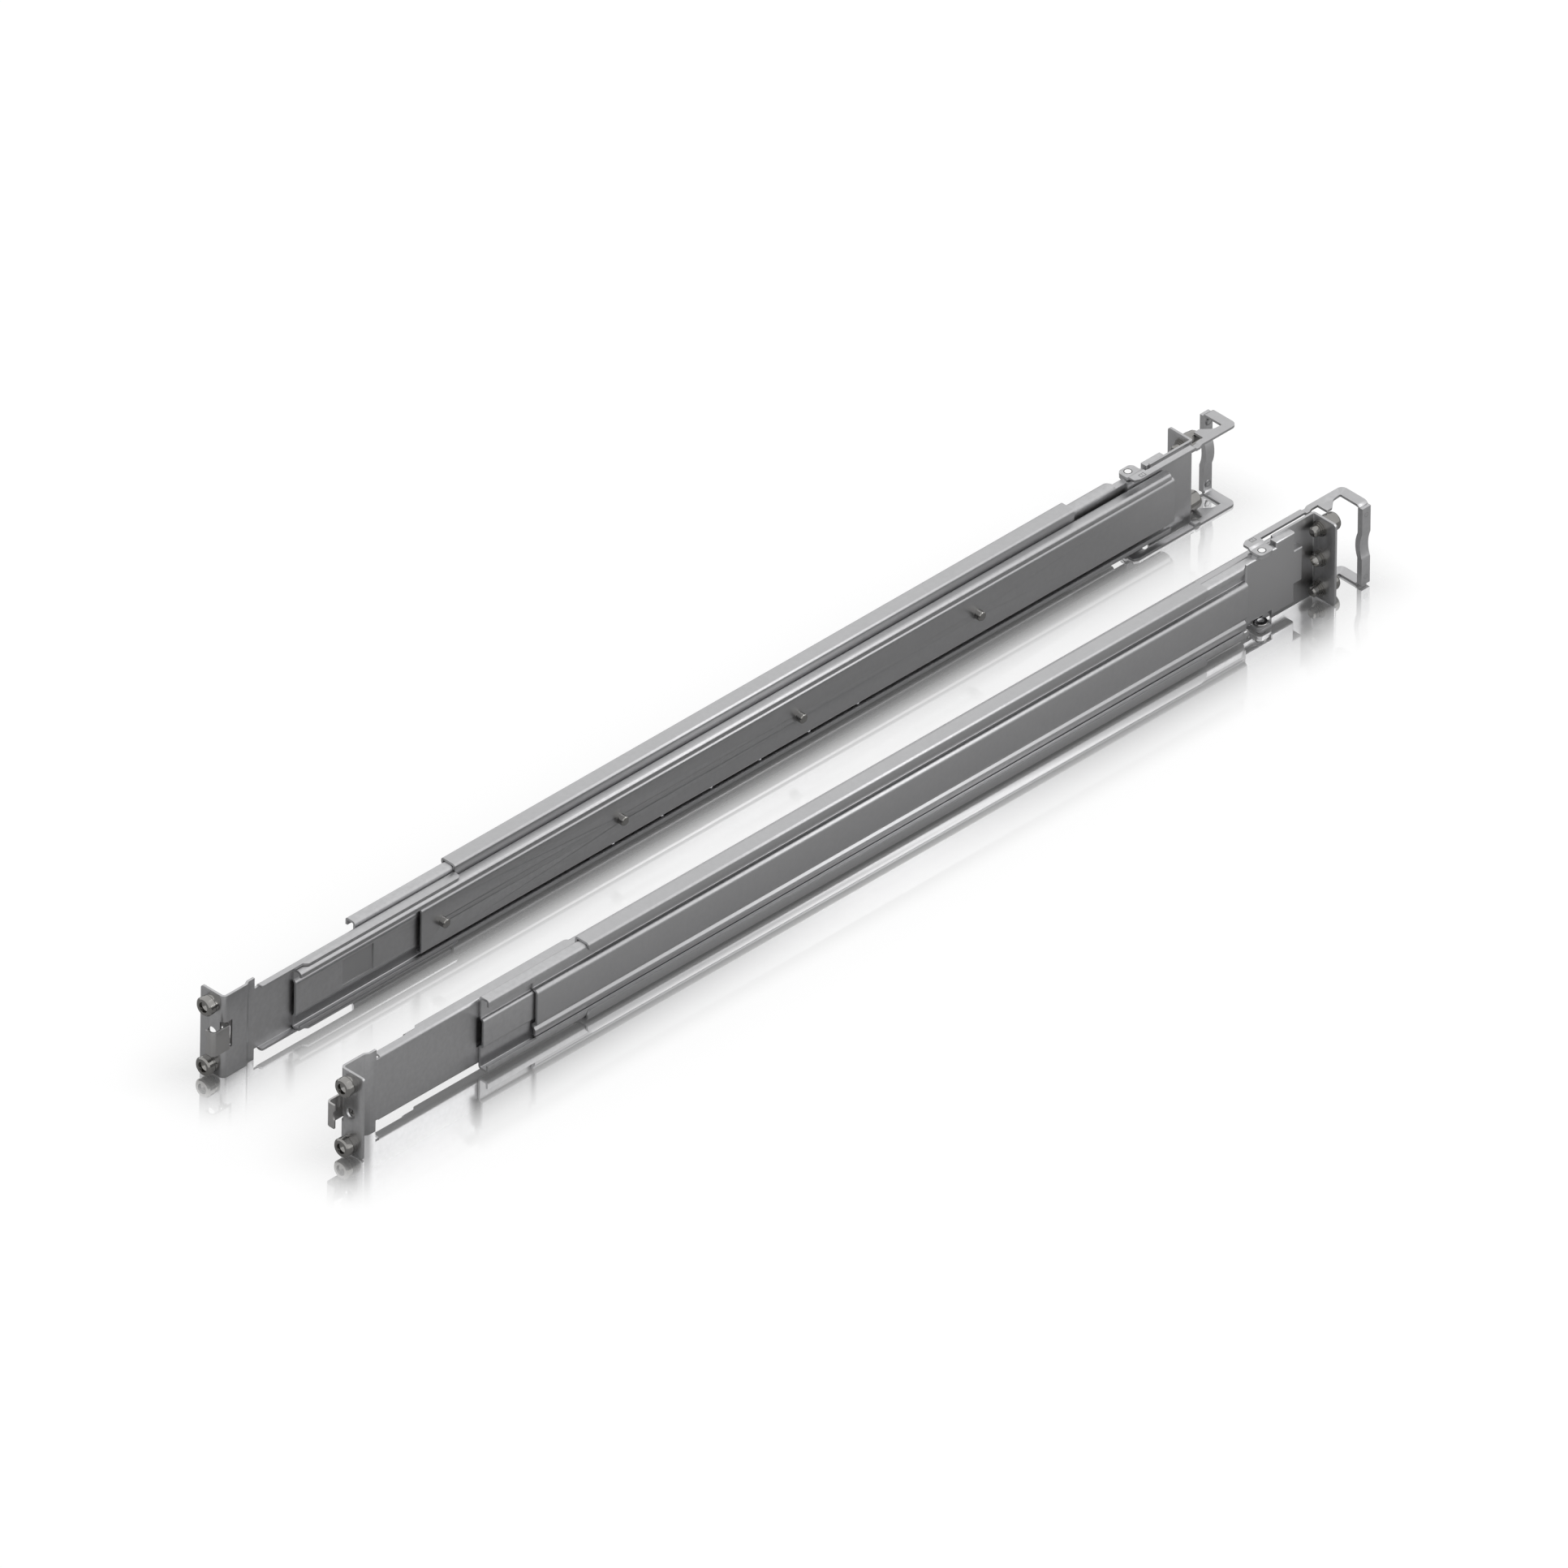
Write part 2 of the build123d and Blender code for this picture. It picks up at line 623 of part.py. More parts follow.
# Rear bracket: plate welded to the depth channel, and the flange that meets the rear post
with BuildPart() as rear_bracket:
    plate_start = rail_depth - rear_plate_length
    bracket_points = [(plate_out, plate_start), (plate_out, rail_depth), (rear_flange_out, rail_depth)]
    extrude(folded(above(-half_height), bracket_points, rear_bend, Side.RIGHT), amount=rail_height)
    fillet(rear_bracket.edges().filter_by(Axis.Y).group_by(Axis.X)[-1], flange_corner)
    for low, high in ((rear_notch_height, half_height), (-half_height, -rear_notch_height)):
        notch = block(beside(0), plate_start, plate_start + rear_notch_length, low, high)
        extrude(notch, amount=through, mode=Mode.SUBTRACT)
    with BuildSketch(across(rail_depth)):
        with Locations((pin_out, half_pitch), (pin_out, -half_pitch), (pin_out, 0)):
            Circle(pin_shank)
    extrude(amount=sheet, mode=Mode.SUBTRACT)
write_pair(rear_bracket, "rear_bracket")

# Rear pins: a head that fills the rack hole, and stepped rings on the inside of the flange
ring_points = []
for step, radius in enumerate(rear_ring_radii):
    ring_front = rail_depth - sheet - step * ring_step
    ring_points += [(radius, ring_front), (radius, ring_front - ring_step)]
with BuildPart() as rear_pins:
    for up in (half_pitch, -half_pitch):
        tip = rail_depth + rear_pin_length
        tail = rail_depth - sheet - rear_tail_length
        pin_points = [(0, tip), (rear_pin_radius - pin_edge, tip),
                      (rear_pin_radius - rear_pin_taper, tip - pin_edge),
                      (rear_pin_radius, rail_depth + rear_pin_seat), (rear_pin_radius, rail_depth),
                      (pin_shank, rail_depth), (pin_shank, rail_depth - sheet), *ring_points]
        pin_points += [(rear_tail_radius, ring_points[-1][1]), (rear_tail_radius, tail + pin_edge),
                       (rear_tail_radius - pin_edge, tail), (0, tail)]
        shifted = [(pin_out + radius, along) for radius, along in pin_points]
        add(turned(above(up), shifted, line_along(pin_out, up)))
write_pair(rear_pins, "rear_pins")

# Rear collar: threaded bush between the pins
with BuildPart() as rear_collar:
    collar_back = rail_depth - sheet - rear_collar_length
    collar_points = [(screw_hole, rail_depth), (pin_shank, rail_depth), (pin_shank, rail_depth - sheet)]
    collar_points += ring_points[:-1]
    collar_points += [(rear_ring_radii[-1], collar_back), (screw_hole, collar_back)]
    shifted = [(pin_out + radius, along) for radius, along in collar_points]
    add(turned(above(0), shifted, line_along(pin_out, 0)))
write_pair(rear_collar, "rear_collar")


def latch_arm(plan_side):
    """One arm of the latch, above the rail for 1 and below it for -1."""
    top = plan_side * half_height
    side = Side.RIGHT if plan_side > 0 else Side.LEFT
    start = pivot_along - ear_front
    end = pivot_along + latch_end
    dip_low = plan_side * (half_height - dip_depth)
    bend_out = grip_out - grip_thick + sheet
    with BuildPart() as ear:
        ear_points = [(-strip_outer - slide_play, top), (sheet, top),
                      (2 * sheet, top - plan_side * ear_drop), (ear_out, top - plan_side * ear_drop)]
        section = folded(across(pivot_along + ear_back), ear_points, [soft_bend, tight_bend], side)
        extrude(section, amount=ear_front + ear_back)
        fillet(ear.edges().filter_by(Axis.Z).group_by(Axis.X)[-1], bend)
    with BuildPart() as arm:
        dip_from = pivot_along + dip_start
        dip_to = pivot_along + dip_end
        strip_points = [(start, top), (dip_from, top), (dip_from + dip_run, dip_low),
                        (dip_to - dip_run, dip_low), (dip_to, top), (end, top)]
        strip_bends = [soft_bend, tight_bend, tight_bend, soft_bend]
        section = folded(beside(-strip_inner), strip_points, strip_bends, side)
        extrude(section, amount=strip_inner + bend_out - bend)
        tooth = pivot_along + tooth_start
        plan = [(-strip_inner, start + strip_chamfer), (-strip_inner + strip_chamfer / 2, start),
                (-strip_outer, start), (-strip_outer, tooth), (tooth_out, tooth),
                (tooth_out, tooth + tooth_flat), (tooth_root, pivot_along + tooth_end),
                (cross_out, pivot_along + cross_front), (bend_out, pivot_along + cross_front),
                (bend_out, end), (-strip_inner, end)]
        plan_rounds = [(0, strip_round), (1, strip_round), (5, strip_round), (6, root_round),
                       (7, tight_bend), (10, latch_corner)]
        extrude(outline(above(-through / 2), plan, plan_rounds), amount=through, mode=Mode.INTERSECT)
        add(ear.part)
        tab_points = [(bend_out - 2 * bend, top), (bend_out, top), (bend_out, plan_side * tab_low)]
        tab = folded(across(end), tab_points, bend, side)
        extrude(tab, amount=latch_end - cross_front)
        low, high = sorted((plan_side * (half_height - sheet), plan_side * tab_low))
        cross = pivot_along + cross_front
        for edge in (cross, end - tab_side):
            side_cut = block(beside(bend_out - sheet - tight_bend), edge, edge + tab_side, low, high)
            extrude(side_cut, amount=2 * sheet, mode=Mode.SUBTRACT)
        with BuildSketch(above(plan_side * (ear_up + sheet / 2) - sheet)):
            with Locations((pivot_out, pivot_along)):
                Circle(eyelet_radius + pivot_play)
        extrude(amount=2 * sheet, mode=Mode.SUBTRACT)
        with BuildSketch(beside(bend_out - sheet)):
            with Locations(((cross + end) / 2, plan_side * grip_rivet_up)):
                Circle(grip_rivet_radius)
        extrude(amount=sheet, mode=Mode.SUBTRACT)
    return arm


latch_arm_upper = latch_arm(1)
write_pair(latch_arm_upper, "latch_arm_upper")
latch_arm_lower = latch_arm(-1)
write_pair(latch_arm_lower, "latch_arm_lower")

# Latch grip: a strap bowed in its middle for the finger, riveted over the tabs of both arms
grip_end = pivot_along + latch_end - grip_inset
grip_width = latch_end - cross_front - 2 * grip_inset
grip_middle = grip_end - grip_width / 2
grip_inner = grip_out - grip_thick
with BuildPart() as latch_grip:
    with BuildSketch(across(grip_end)):
        with BuildLine():
            Line((grip_out, grip_top), (grip_out, grip_bow_height))
            ThreePointArc((grip_out, grip_bow_height), (grip_out - grip_bow, 0),
                          (grip_out, -grip_bow_height))
            Line((grip_out, -grip_bow_height), (grip_out, -grip_top))
            Line((grip_out, -grip_top), (grip_inner, -grip_top))
            Line((grip_inner, -grip_top), (grip_inner, -grip_bow_height))
            ThreePointArc((grip_inner, -grip_bow_height), (grip_inner - grip_bow, 0),
                          (grip_inner, grip_bow_height))
            Line((grip_inner, grip_bow_height), (grip_inner, grip_top))
            Line((grip_inner, grip_top), (grip_out, grip_top))
        make_face()
    extrude(amount=grip_width)
    for low, high in ((tab_low, grip_top), (-grip_top, -tab_low)):
        pocket = block(beside(grip_inner), grip_end + grip_inset - latch_end + cross_front + tab_side,
                       grip_end + grip_inset - tab_side, low, high)
        extrude(pocket, amount=sheet, mode=Mode.SUBTRACT)
    with BuildSketch(beside(grip_inner)):
        with Locations((grip_middle, grip_rivet_up), (grip_middle, -grip_rivet_up)):
            Circle(grip_rivet_radius)
    extrude(amount=grip_thick, mode=Mode.SUBTRACT)
write_pair(latch_grip, "latch_grip")

with BuildPart() as grip_rivets:
    for up in (grip_rivet_up, -grip_rivet_up):
        back = grip_inner - grip_rivet_thick
        rivet_points = [(back, 0), (back, grip_rivet_head - grip_rivet_thick), (grip_inner, grip_rivet_head),
                        (grip_inner, grip_rivet_radius), (grip_out, grip_rivet_radius), (grip_out, 0)]
        shifted = [(out, grip_middle + radius) for out, radius in rivet_points]
        add(turned(above(up), shifted, line_out(grip_middle, up)))
write_pair(grip_rivets, "grip_rivets")

# Latch pivots: flat-headed pins through the channel's ears and the latch's ears
with BuildPart() as latch_eyelets:
    spring_top = depth_height - sheet - latch_coils * latch_wire
    upper_points = [(0, ear_up + sheet), (eyelet_radius, ear_up + sheet),
                    (eyelet_radius, depth_height - sheet), (0, depth_height - sheet)]
    lower_points = [(0, -ear_up - sheet), (eyelet_radius, -ear_up - sheet),
                    (eyelet_radius, -spring_top), (eyelet_rim, -spring_top),
                    (eyelet_rim, -spring_top + eyelet_rim_thick), (0, -spring_top + eyelet_rim_thick)]
    for points in (upper_points, lower_points):
        shifted = [(pivot_out + radius, up) for radius, up in points]
        add(turned(across(pivot_along), shifted, line_up(pivot_out, pivot_along)))
write_pair(latch_eyelets, "latch_eyelets")

# Latch spring: coil round the lower pivot, on the channel's lower ear
with BuildPart() as latch_spring:
    coil = coil_points(eyelet_radius + slide_play, latch_coil_radius, -depth_height + sheet,
                       latch_wire, latch_coils)
    shifted = [(pivot_out + radius, up) for radius, up in coil]
    add(turned(across(pivot_along), shifted, line_up(pivot_out, pivot_along)))
write_pair(latch_spring, "latch_spring")
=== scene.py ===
import math

import bpy
from mathutils import Matrix, Vector


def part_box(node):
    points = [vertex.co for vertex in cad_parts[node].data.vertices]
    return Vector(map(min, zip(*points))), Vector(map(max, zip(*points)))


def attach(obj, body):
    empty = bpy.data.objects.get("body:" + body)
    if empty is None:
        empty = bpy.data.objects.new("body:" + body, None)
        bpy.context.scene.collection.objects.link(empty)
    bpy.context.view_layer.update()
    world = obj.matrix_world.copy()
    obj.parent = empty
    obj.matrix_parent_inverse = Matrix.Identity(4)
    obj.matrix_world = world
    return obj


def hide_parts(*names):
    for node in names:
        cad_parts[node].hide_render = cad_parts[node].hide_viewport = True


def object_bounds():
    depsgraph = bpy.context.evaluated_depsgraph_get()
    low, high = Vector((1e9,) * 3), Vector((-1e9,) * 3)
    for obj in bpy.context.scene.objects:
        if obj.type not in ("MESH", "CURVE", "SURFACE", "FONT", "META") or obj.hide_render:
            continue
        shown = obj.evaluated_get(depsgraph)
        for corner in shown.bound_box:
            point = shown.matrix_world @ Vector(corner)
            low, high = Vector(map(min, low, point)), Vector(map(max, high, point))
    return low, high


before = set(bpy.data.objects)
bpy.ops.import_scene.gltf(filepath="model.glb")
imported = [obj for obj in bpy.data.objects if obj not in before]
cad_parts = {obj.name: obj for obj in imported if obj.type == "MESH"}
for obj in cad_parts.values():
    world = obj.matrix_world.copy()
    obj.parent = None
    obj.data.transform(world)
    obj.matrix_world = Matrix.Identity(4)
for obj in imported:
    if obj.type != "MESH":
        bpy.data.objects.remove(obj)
cad_low, cad_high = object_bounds()

bl_info = {
    "name": "Server Rail Pair",
    "version": (1, 0, 0),
    "blender": (4, 5, 0),
    "location": "View3D > Sidebar > Rail Pair",
    "description": "Dresses a packed pair of sliding server rails with its finishes and fine pieces",
    "category": "Object",
}

SIDES = {"right": 1.0, "left": -1.0}
MM = 0.001

# The stage, in metres: half the floor's side, how far it lies under the rails, the long soft lamp's
# width and length, and the camera's distance and reach.
FLOOR_HALF = 6.0
FLOOR_DROP = 0.05 * MM
STRIP_SIZE = (0.09, 1.8)
CAMERA_DISTANCE = 2.0
CAMERA_REACH = 20.0

# Shares and counts of the fine pieces
EDGE_SEGMENTS = 2
BALL_SUBDIVISIONS = 4
BALL_ROUGHNESS = 0.08
COIL_RESOLUTION = 40
WIRE_RESOLUTION = 14
WIRE_PLAY = 0.98
# How much lighter the painted edge highlight makes a metal's colour on sharp edges
EDGE_HIGHLIGHT_GAIN = 1.6
BUMP_DISTANCE = 0.05 * MM
MIRROR_ROUGHNESS = 0.02
MIRROR_FALL = 2.0
RAIL_WIDTH = 14 * MM

# The painted shade that stands for the embossed mark of a latch strip, the painted highlight on the face
# of its pivot with a ring of painted shade in the gap about it, and the flush ends of the grip's
# rivets, whose heads are behind the grip.
STAMP_OUT = -1.7 * MM
STAMP_ALONG = 561 * MM
MARK_SHADE = 0.3
# Colour of the painted highlight on a pivot's face
PIVOT_HIGHLIGHT = (0.9, 0.9, 0.9)
PIVOT_RIM = 1.55 * MM
RIVET_HEAD = 1.9 * MM
RIVET_RIM = 1.05 * MM
RIVET_SHADE = 0.6

# Places of a rail, in metres. "out" is measured from the server side of the front head plate,
# "along" from the front flange's face, and "up" from mid height.
HALF_SPREAD = 35.45 * MM
PIN_REACH = 7.3 * MM
FRONT_Y = cad_low.y + PIN_REACH
MID_HEIGHT = (cad_low.z + cad_high.z) / 2

SHEET_PIECES = (
    "front_bracket", "slide_channel", "inner_slide", "sleeve_channel", "depth_channel",
    "stiffener", "rear_bracket", "latch_arm_upper", "latch_arm_lower",
)
TURNED_PIECES = (
    "front_pins", "hook_pivot", "chassis_studs", "sleeve_rivets", "rear_pins", "rear_collar",
    "grip_rivets", "latch_eyelets",
)


def place(side, out, along, up):
    """A point of one rail in the row frame."""
    return Vector((SIDES[side] * (HALF_SPREAD + out), FRONT_Y + along, MID_HEIGHT + up))


def middle(node):
    """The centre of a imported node's box."""
    low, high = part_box(node)
    return (low + high) / 2


class RailFinish(bpy.types.PropertyGroup):
    """Colours and surface values of the metals."""

    zinc: bpy.props.FloatVectorProperty(
        name="Zinc plate", description="Colour of the plated sheet", subtype="COLOR",
        size=3, min=0, max=1, default=(0.44, 0.44, 0.446),
    )
    zinc_roughness: bpy.props.FloatProperty(
        name="Zinc roughness", description="How matt the plated sheet is", min=0, max=1, default=0.36,
    )
    nickel: bpy.props.FloatVectorProperty(
        name="Nickel plate", description="Colour of pins, studs and rivets", subtype="COLOR",
        size=3, min=0, max=1, default=(0.28, 0.275, 0.265),
    )
    nickel_roughness: bpy.props.FloatProperty(
        name="Nickel roughness", description="How matt the turned pieces are", min=0, max=1, default=0.13,
    )
    spring: bpy.props.FloatVectorProperty(
        name="Spring steel", description="Colour of the hook and the coils", subtype="COLOR",
        size=3, min=0, max=1, default=(0.42, 0.415, 0.41),
    )
    cage: bpy.props.FloatVectorProperty(
        name="Cage steel", description="Colour of the ball cages", subtype="COLOR",
        size=3, min=0, max=1, default=(0.45, 0.45, 0.45),
    )
    bearing: bpy.props.FloatVectorProperty(
        name="Bearing steel", description="Colour of the balls", subtype="COLOR",
        size=3, min=0, max=1, default=(0.62, 0.62, 0.64),
    )


class RailDetail(bpy.types.PropertyGroup):
    """Sizes of the fine pieces and softened edges."""

    edge_width: bpy.props.FloatProperty(
        name="Edge width", description="Width of the broken edge of a sheet", unit="LENGTH",
        min=0, default=0.14 * MM, precision=5,
    )
    sharp_angle: bpy.props.FloatProperty(
        name="Sharp angle", description="An edge that turns more than this is broken", subtype="ANGLE",
        min=0, max=math.pi, default=math.radians(32),
    )
    merge_distance: bpy.props.FloatProperty(
        name="Merge distance", description="Corners closer than this are one", unit="LENGTH",
        min=0, default=0.002 * MM, precision=6,
    )
    ball_radius: bpy.props.FloatProperty(
        name="Ball radius", description="Radius of a bearing ball", unit="LENGTH", min=0, default=1.0 * MM,
        precision=5,
    )
    balls_in_row: bpy.props.IntProperty(
        name="Balls in a row", description="Balls in one strip of a cage", min=1, default=6,
    )
    coil_turns: bpy.props.FloatProperty(
        name="Coil turns", description="Turns of the hook's torsion coil", min=1, default=3.0,
    )


class RailStage(bpy.types.PropertyGroup):
    """Floor, light and camera."""

    floor_colour: bpy.props.FloatVectorProperty(
        name="Floor", description="Colour of the floor", subtype="COLOR", size=3, min=0, max=1,
        default=(0.38, 0.38, 0.38),
    )
    floor_lift: bpy.props.FloatProperty(
        name="Floor lift", description="White that the camera sees on top of the floor's own light",
        min=0, max=1, default=0.61,
    )
    floor_reflection: bpy.props.FloatProperty(
        name="Floor reflection", description="Share of the floor that mirrors where a rail stands",
        min=0, max=1, default=0.9,
    )
    reflection_reach: bpy.props.FloatProperty(
        name="Reflection reach", description="Distance from a rail at which the floor no longer mirrors",
        unit="LENGTH", min=0, default=0.036, precision=4,
    )
    floor_in_metal: bpy.props.FloatProperty(
        name="Floor in metal", description="White that the metals see on top of the floor's own light",
        min=0, max=1, default=0.02,
    )
    sky: bpy.props.FloatProperty(
        name="Studio light", description="Brightness of the walls and ceiling", min=0, max=2, default=1.04,
    )
    strip_power: bpy.props.FloatProperty(
        name="Strip lamp", description="Power in watts of the long soft lamp over the rails", min=0,
        default=4.5,
    )
    strip_place: bpy.props.FloatVectorProperty(
        name="Strip lamp place", description="Middle of the long soft lamp", subtype="TRANSLATION", size=3,
        default=(0.9, 0.9, 0.9),
    )
    camera_azimuth: bpy.props.FloatProperty(
        name="Camera azimuth", description="Turn of the view about the rails", subtype="ANGLE",
        default=math.radians(44.46),
    )
    camera_elevation: bpy.props.FloatProperty(
        name="Camera elevation", description="Height of the view above the horizon", subtype="ANGLE",
        default=math.radians(35.53),
    )
    camera_roll: bpy.props.FloatProperty(
        name="Camera roll", description="Turn of the view about its own axis", subtype="ANGLE",
        default=math.radians(0.81),
    )
    view_width: bpy.props.FloatProperty(
        name="View width", description="Width that the camera sees", unit="LENGTH", default=0.6786,
        precision=4,
    )
    view_target: bpy.props.FloatVectorProperty(
        name="View target", description="Point at the middle of the view", subtype="TRANSLATION", size=3,
        default=(-0.00634, 0.00929, 0.01551),
    )


# Shader groups

def new_group(name, inputs, outputs):
    """A shader group with its named sockets: (name, kind, default) each."""
    group = bpy.data.node_groups.new(name, "ShaderNodeTree")
    for label, kind, value in inputs:
        socket = group.interface.new_socket(label, in_out="INPUT", socket_type=kind)
        socket.default_value = value
    for label, kind in outputs:
        group.interface.new_socket(label, in_out="OUTPUT", socket_type=kind)
    entry = group.nodes.new("NodeGroupInput")
    leave = group.nodes.new("NodeGroupOutput")
    return group, entry, leave


def link(tree, source, target):
    """Joins two sockets of a tree."""
    tree.links.new(source, target)


def math_node(tree, operation, *values):
    """A maths node fed by sockets or numbers."""
    node = tree.nodes.new("ShaderNodeMath")
    node.operation = operation
    for socket, value in zip(node.inputs, values):
        if isinstance(value, bpy.types.NodeSocket):
            link(tree, value, socket)
        else:
            socket.default_value = value
    return node.outputs[0]


def vector_node(tree, operation, *sources):
    """A vector maths node fed by sockets, with a vector for its result."""
    node = tree.nodes.new("ShaderNodeVectorMath")
    node.operation = operation
    for socket, source in zip(node.inputs, sources):
        link(tree, source, socket)
    return node.outputs[0]


def noise_node(tree, vector, scale, detail=2.0, roughness=0.5):
    """A noise texture's value at a vector, with its scale from a socket or a number."""
    node = tree.nodes.new("ShaderNodeTexNoise")
    link(tree, vector, node.inputs["Vector"])
    node.inputs["Detail"].default_value = detail
    node.inputs["Roughness"].default_value = roughness
    if isinstance(scale, bpy.types.NodeSocket):
        link(tree, scale, node.inputs["Scale"])
    else:
        node.inputs["Scale"].default_value = scale
    return node.outputs["Fac"]


def rolled_grain_group():
    """Fine lines that rolling leaves along the sheet, as a height."""
    group, entry, leave = new_group(
        "rolled_grain",
        [("Vector", "NodeSocketVector", (0, 0, 0)), ("Lines per metre", "NodeSocketFloat", 2600.0)],
        [("Height", "NodeSocketFloat")],
    )
    stretch = group.nodes.new("ShaderNodeVectorMath")
    stretch.operation = "MULTIPLY"
    stretch.inputs[1].default_value = (1.0, 0.02, 1.0)
    link(group, entry.outputs["Vector"], stretch.inputs[0])
    lines = noise_node(group, stretch.outputs[0], entry.outputs["Lines per metre"], detail=3.0)
    link(group, lines, leave.inputs["Height"])
    return group


def plating_group():
    """Clouds and fine grain of a plated surface: a colour and a roughness that vary about their base."""
    group, entry, leave = new_group(
        "plating",
        [
            ("Vector", "NodeSocketVector", (0, 0, 0)),
            ("Colour", "NodeSocketColor", (0.4, 0.4, 0.4, 1)),
            ("Roughness", "NodeSocketFloat", 0.35),
            ("Cloud scale", "NodeSocketFloat", 55.0),
            ("Cloud strength", "NodeSocketFloat", 0.12),
            ("Grain scale", "NodeSocketFloat", 3800.0),
            ("Grain strength", "NodeSocketFloat", 0.08),
        ],
        [("Colour", "NodeSocketColor"), ("Roughness", "NodeSocketFloat"), ("Height", "NodeSocketFloat")],
    )
    vector = entry.outputs["Vector"]
    clouds = noise_node(group, vector, entry.outputs["Cloud scale"], detail=4.0, roughness=0.6)
    grain = noise_node(group, vector, entry.outputs["Grain scale"], detail=2.0)
    cloud_part = math_node(group, "MULTIPLY", math_node(group, "SUBTRACT", clouds, 0.5),
                           entry.outputs["Cloud strength"])
    grain_part = math_node(group, "MULTIPLY", math_node(group, "SUBTRACT", grain, 0.5),
                           entry.outputs["Grain strength"])
    change = math_node(group, "ADD", cloud_part, grain_part)
    gain = math_node(group, "ADD", change, 1.0)
    tint = group.nodes.new("ShaderNodeVectorMath")
    tint.operation = "SCALE"
    link(group, entry.outputs["Colour"], tint.inputs[0])
    link(group, gain, tint.inputs["Scale"])
    link(group, tint.outputs[0], leave.inputs["Colour"])
    rougher = math_node(group, "MULTIPLY", entry.outputs["Roughness"],
                        math_node(group, "SUBTRACT", 1.0, change))
    link(group, rougher, leave.inputs["Roughness"])
    link(group, grain, leave.inputs["Height"])
    return group


def painted_edge_highlight_group():
    """A painted edge highlight: a mask that is 1 on sharp convex edges, in patches, and 0 on flat sheet.
    """
    group, entry, leave = new_group(
        "painted_edge_highlight",
        [("Vector", "NodeSocketVector", (0, 0, 0)), ("Reach", "NodeSocketFloat", 0.5)],
        [("Mask", "NodeSocketFloat")],
    )
    geometry = group.nodes.new("ShaderNodeNewGeometry")
    ramp = group.nodes.new("ShaderNodeMapRange")
    ramp.inputs["From Min"].default_value = 0.5
    ramp.inputs["From Max"].default_value = 0.62
    link(group, geometry.outputs["Pointiness"], ramp.inputs["Value"])
    patches = noise_node(group, entry.outputs["Vector"], 420.0, detail=3.0)
    patchy = math_node(group, "MULTIPLY", ramp.outputs["Result"], patches)
    mask = math_node(group, "MULTIPLY", patchy, entry.outputs["Reach"])
    link(group, mask, leave.inputs["Mask"])
    return group


def ring_mark_group():
    """A mask that is 1 between two circles about a centre; Across is 0 along the circles' axis."""
    group, entry, leave = new_group(
        "ring_mark",
        [
            ("Vector", "NodeSocketVector", (0, 0, 0)),
            ("Centre", "NodeSocketVector", (0, 0, 0)),
            ("Across", "NodeSocketVector", (1, 1, 0)),
            ("Inner", "NodeSocketFloat", 0.0),
            ("Outer", "NodeSocketFloat", 0.002),
        ],
        [("Mask", "NodeSocketFloat")],
    )
    shifted = vector_node(group, "SUBTRACT", entry.outputs["Vector"], entry.outputs["Centre"])
    flat = vector_node(group, "MULTIPLY", shifted, entry.outputs["Across"])
    radius = group.nodes.new("ShaderNodeVectorMath")
    radius.operation = "LENGTH"
    link(group, flat, radius.inputs[0])
    past = math_node(group, "GREATER_THAN", radius.outputs["Value"], entry.outputs["Inner"])
    within = math_node(group, "LESS_THAN", radius.outputs["Value"], entry.outputs["Outer"])
    link(group, math_node(group, "MULTIPLY", past, within), leave.inputs["Mask"])
    return group


def stamp_shade_mark_group():
    """A mask of a small stamped frame with a bar inside it, on the top of a sheet; painted shade fills it
    in place of the embossing's relief.
    """
    group, entry, leave = new_group(
        "stamp_shade_mark",
        [
            ("Vector", "NodeSocketVector", (0, 0, 0)),
            ("Centre", "NodeSocketVector", (0, 0, 0)),
            ("Half width", "NodeSocketFloat", 0.001),
            ("Half length", "NodeSocketFloat", 0.0014),
            ("Line", "NodeSocketFloat", 0.0003),
            ("Depth", "NodeSocketFloat", 0.0004),
        ],
        [("Mask", "NodeSocketFloat")],
    )
    shifted = vector_node(group, "SUBTRACT", entry.outputs["Vector"], entry.outputs["Centre"])
    parts = group.nodes.new("ShaderNodeSeparateXYZ")
    link(group, vector_node(group, "ABSOLUTE", shifted), parts.inputs[0])
    past_x = math_node(group, "SUBTRACT", parts.outputs["X"], entry.outputs["Half width"])
    past_y = math_node(group, "SUBTRACT", parts.outputs["Y"], entry.outputs["Half length"])
    past = math_node(group, "MAXIMUM", past_x, past_y)
    half_line = math_node(group, "MULTIPLY", entry.outputs["Line"], 0.5)
    frame_line = math_node(group, "LESS_THAN", math_node(group, "ABSOLUTE", past), half_line)
    bar_width = math_node(group, "LESS_THAN", parts.outputs["Y"], half_line)
    bar_end = math_node(group, "MULTIPLY", entry.outputs["Half width"], 0.55)
    bar_length = math_node(group, "LESS_THAN", parts.outputs["X"], bar_end)
    bar = math_node(group, "MULTIPLY", bar_width, bar_length)
    drawn = math_node(group, "MAXIMUM", frame_line, bar)
    on_top = math_node(group, "LESS_THAN", parts.outputs["Z"], entry.outputs["Depth"])
    link(group, math_node(group, "MULTIPLY", drawn, on_top), leave.inputs["Mask"])
    return group


def add_mark(material, kind, colour, **values):
    """Colours what a mark's mask covers, on top of what the metal has so far."""
    tree = material.node_tree
    base = tree.nodes["Principled BSDF"].inputs["Base Color"]
    mark = tree.nodes.new("ShaderNodeGroup")
    mark.node_tree = bpy.data.node_groups[kind]
    link(tree, tree.nodes["coordinates"].outputs["Object"], mark.inputs["Vector"])
    for label, value in values.items():
        mark.inputs[label.replace("_", " ")].default_value = value
    mix = tree.nodes.new("ShaderNodeMix")
    mix.data_type = "RGBA"
    link(tree, mark.outputs["Mask"], mix.inputs["Factor"])
    link(tree, base.links[0].from_socket, mix.inputs["A"])
    mix.inputs["B"].default_value = (*colour, 1)
    link(tree, mix.outputs["Result"], base)


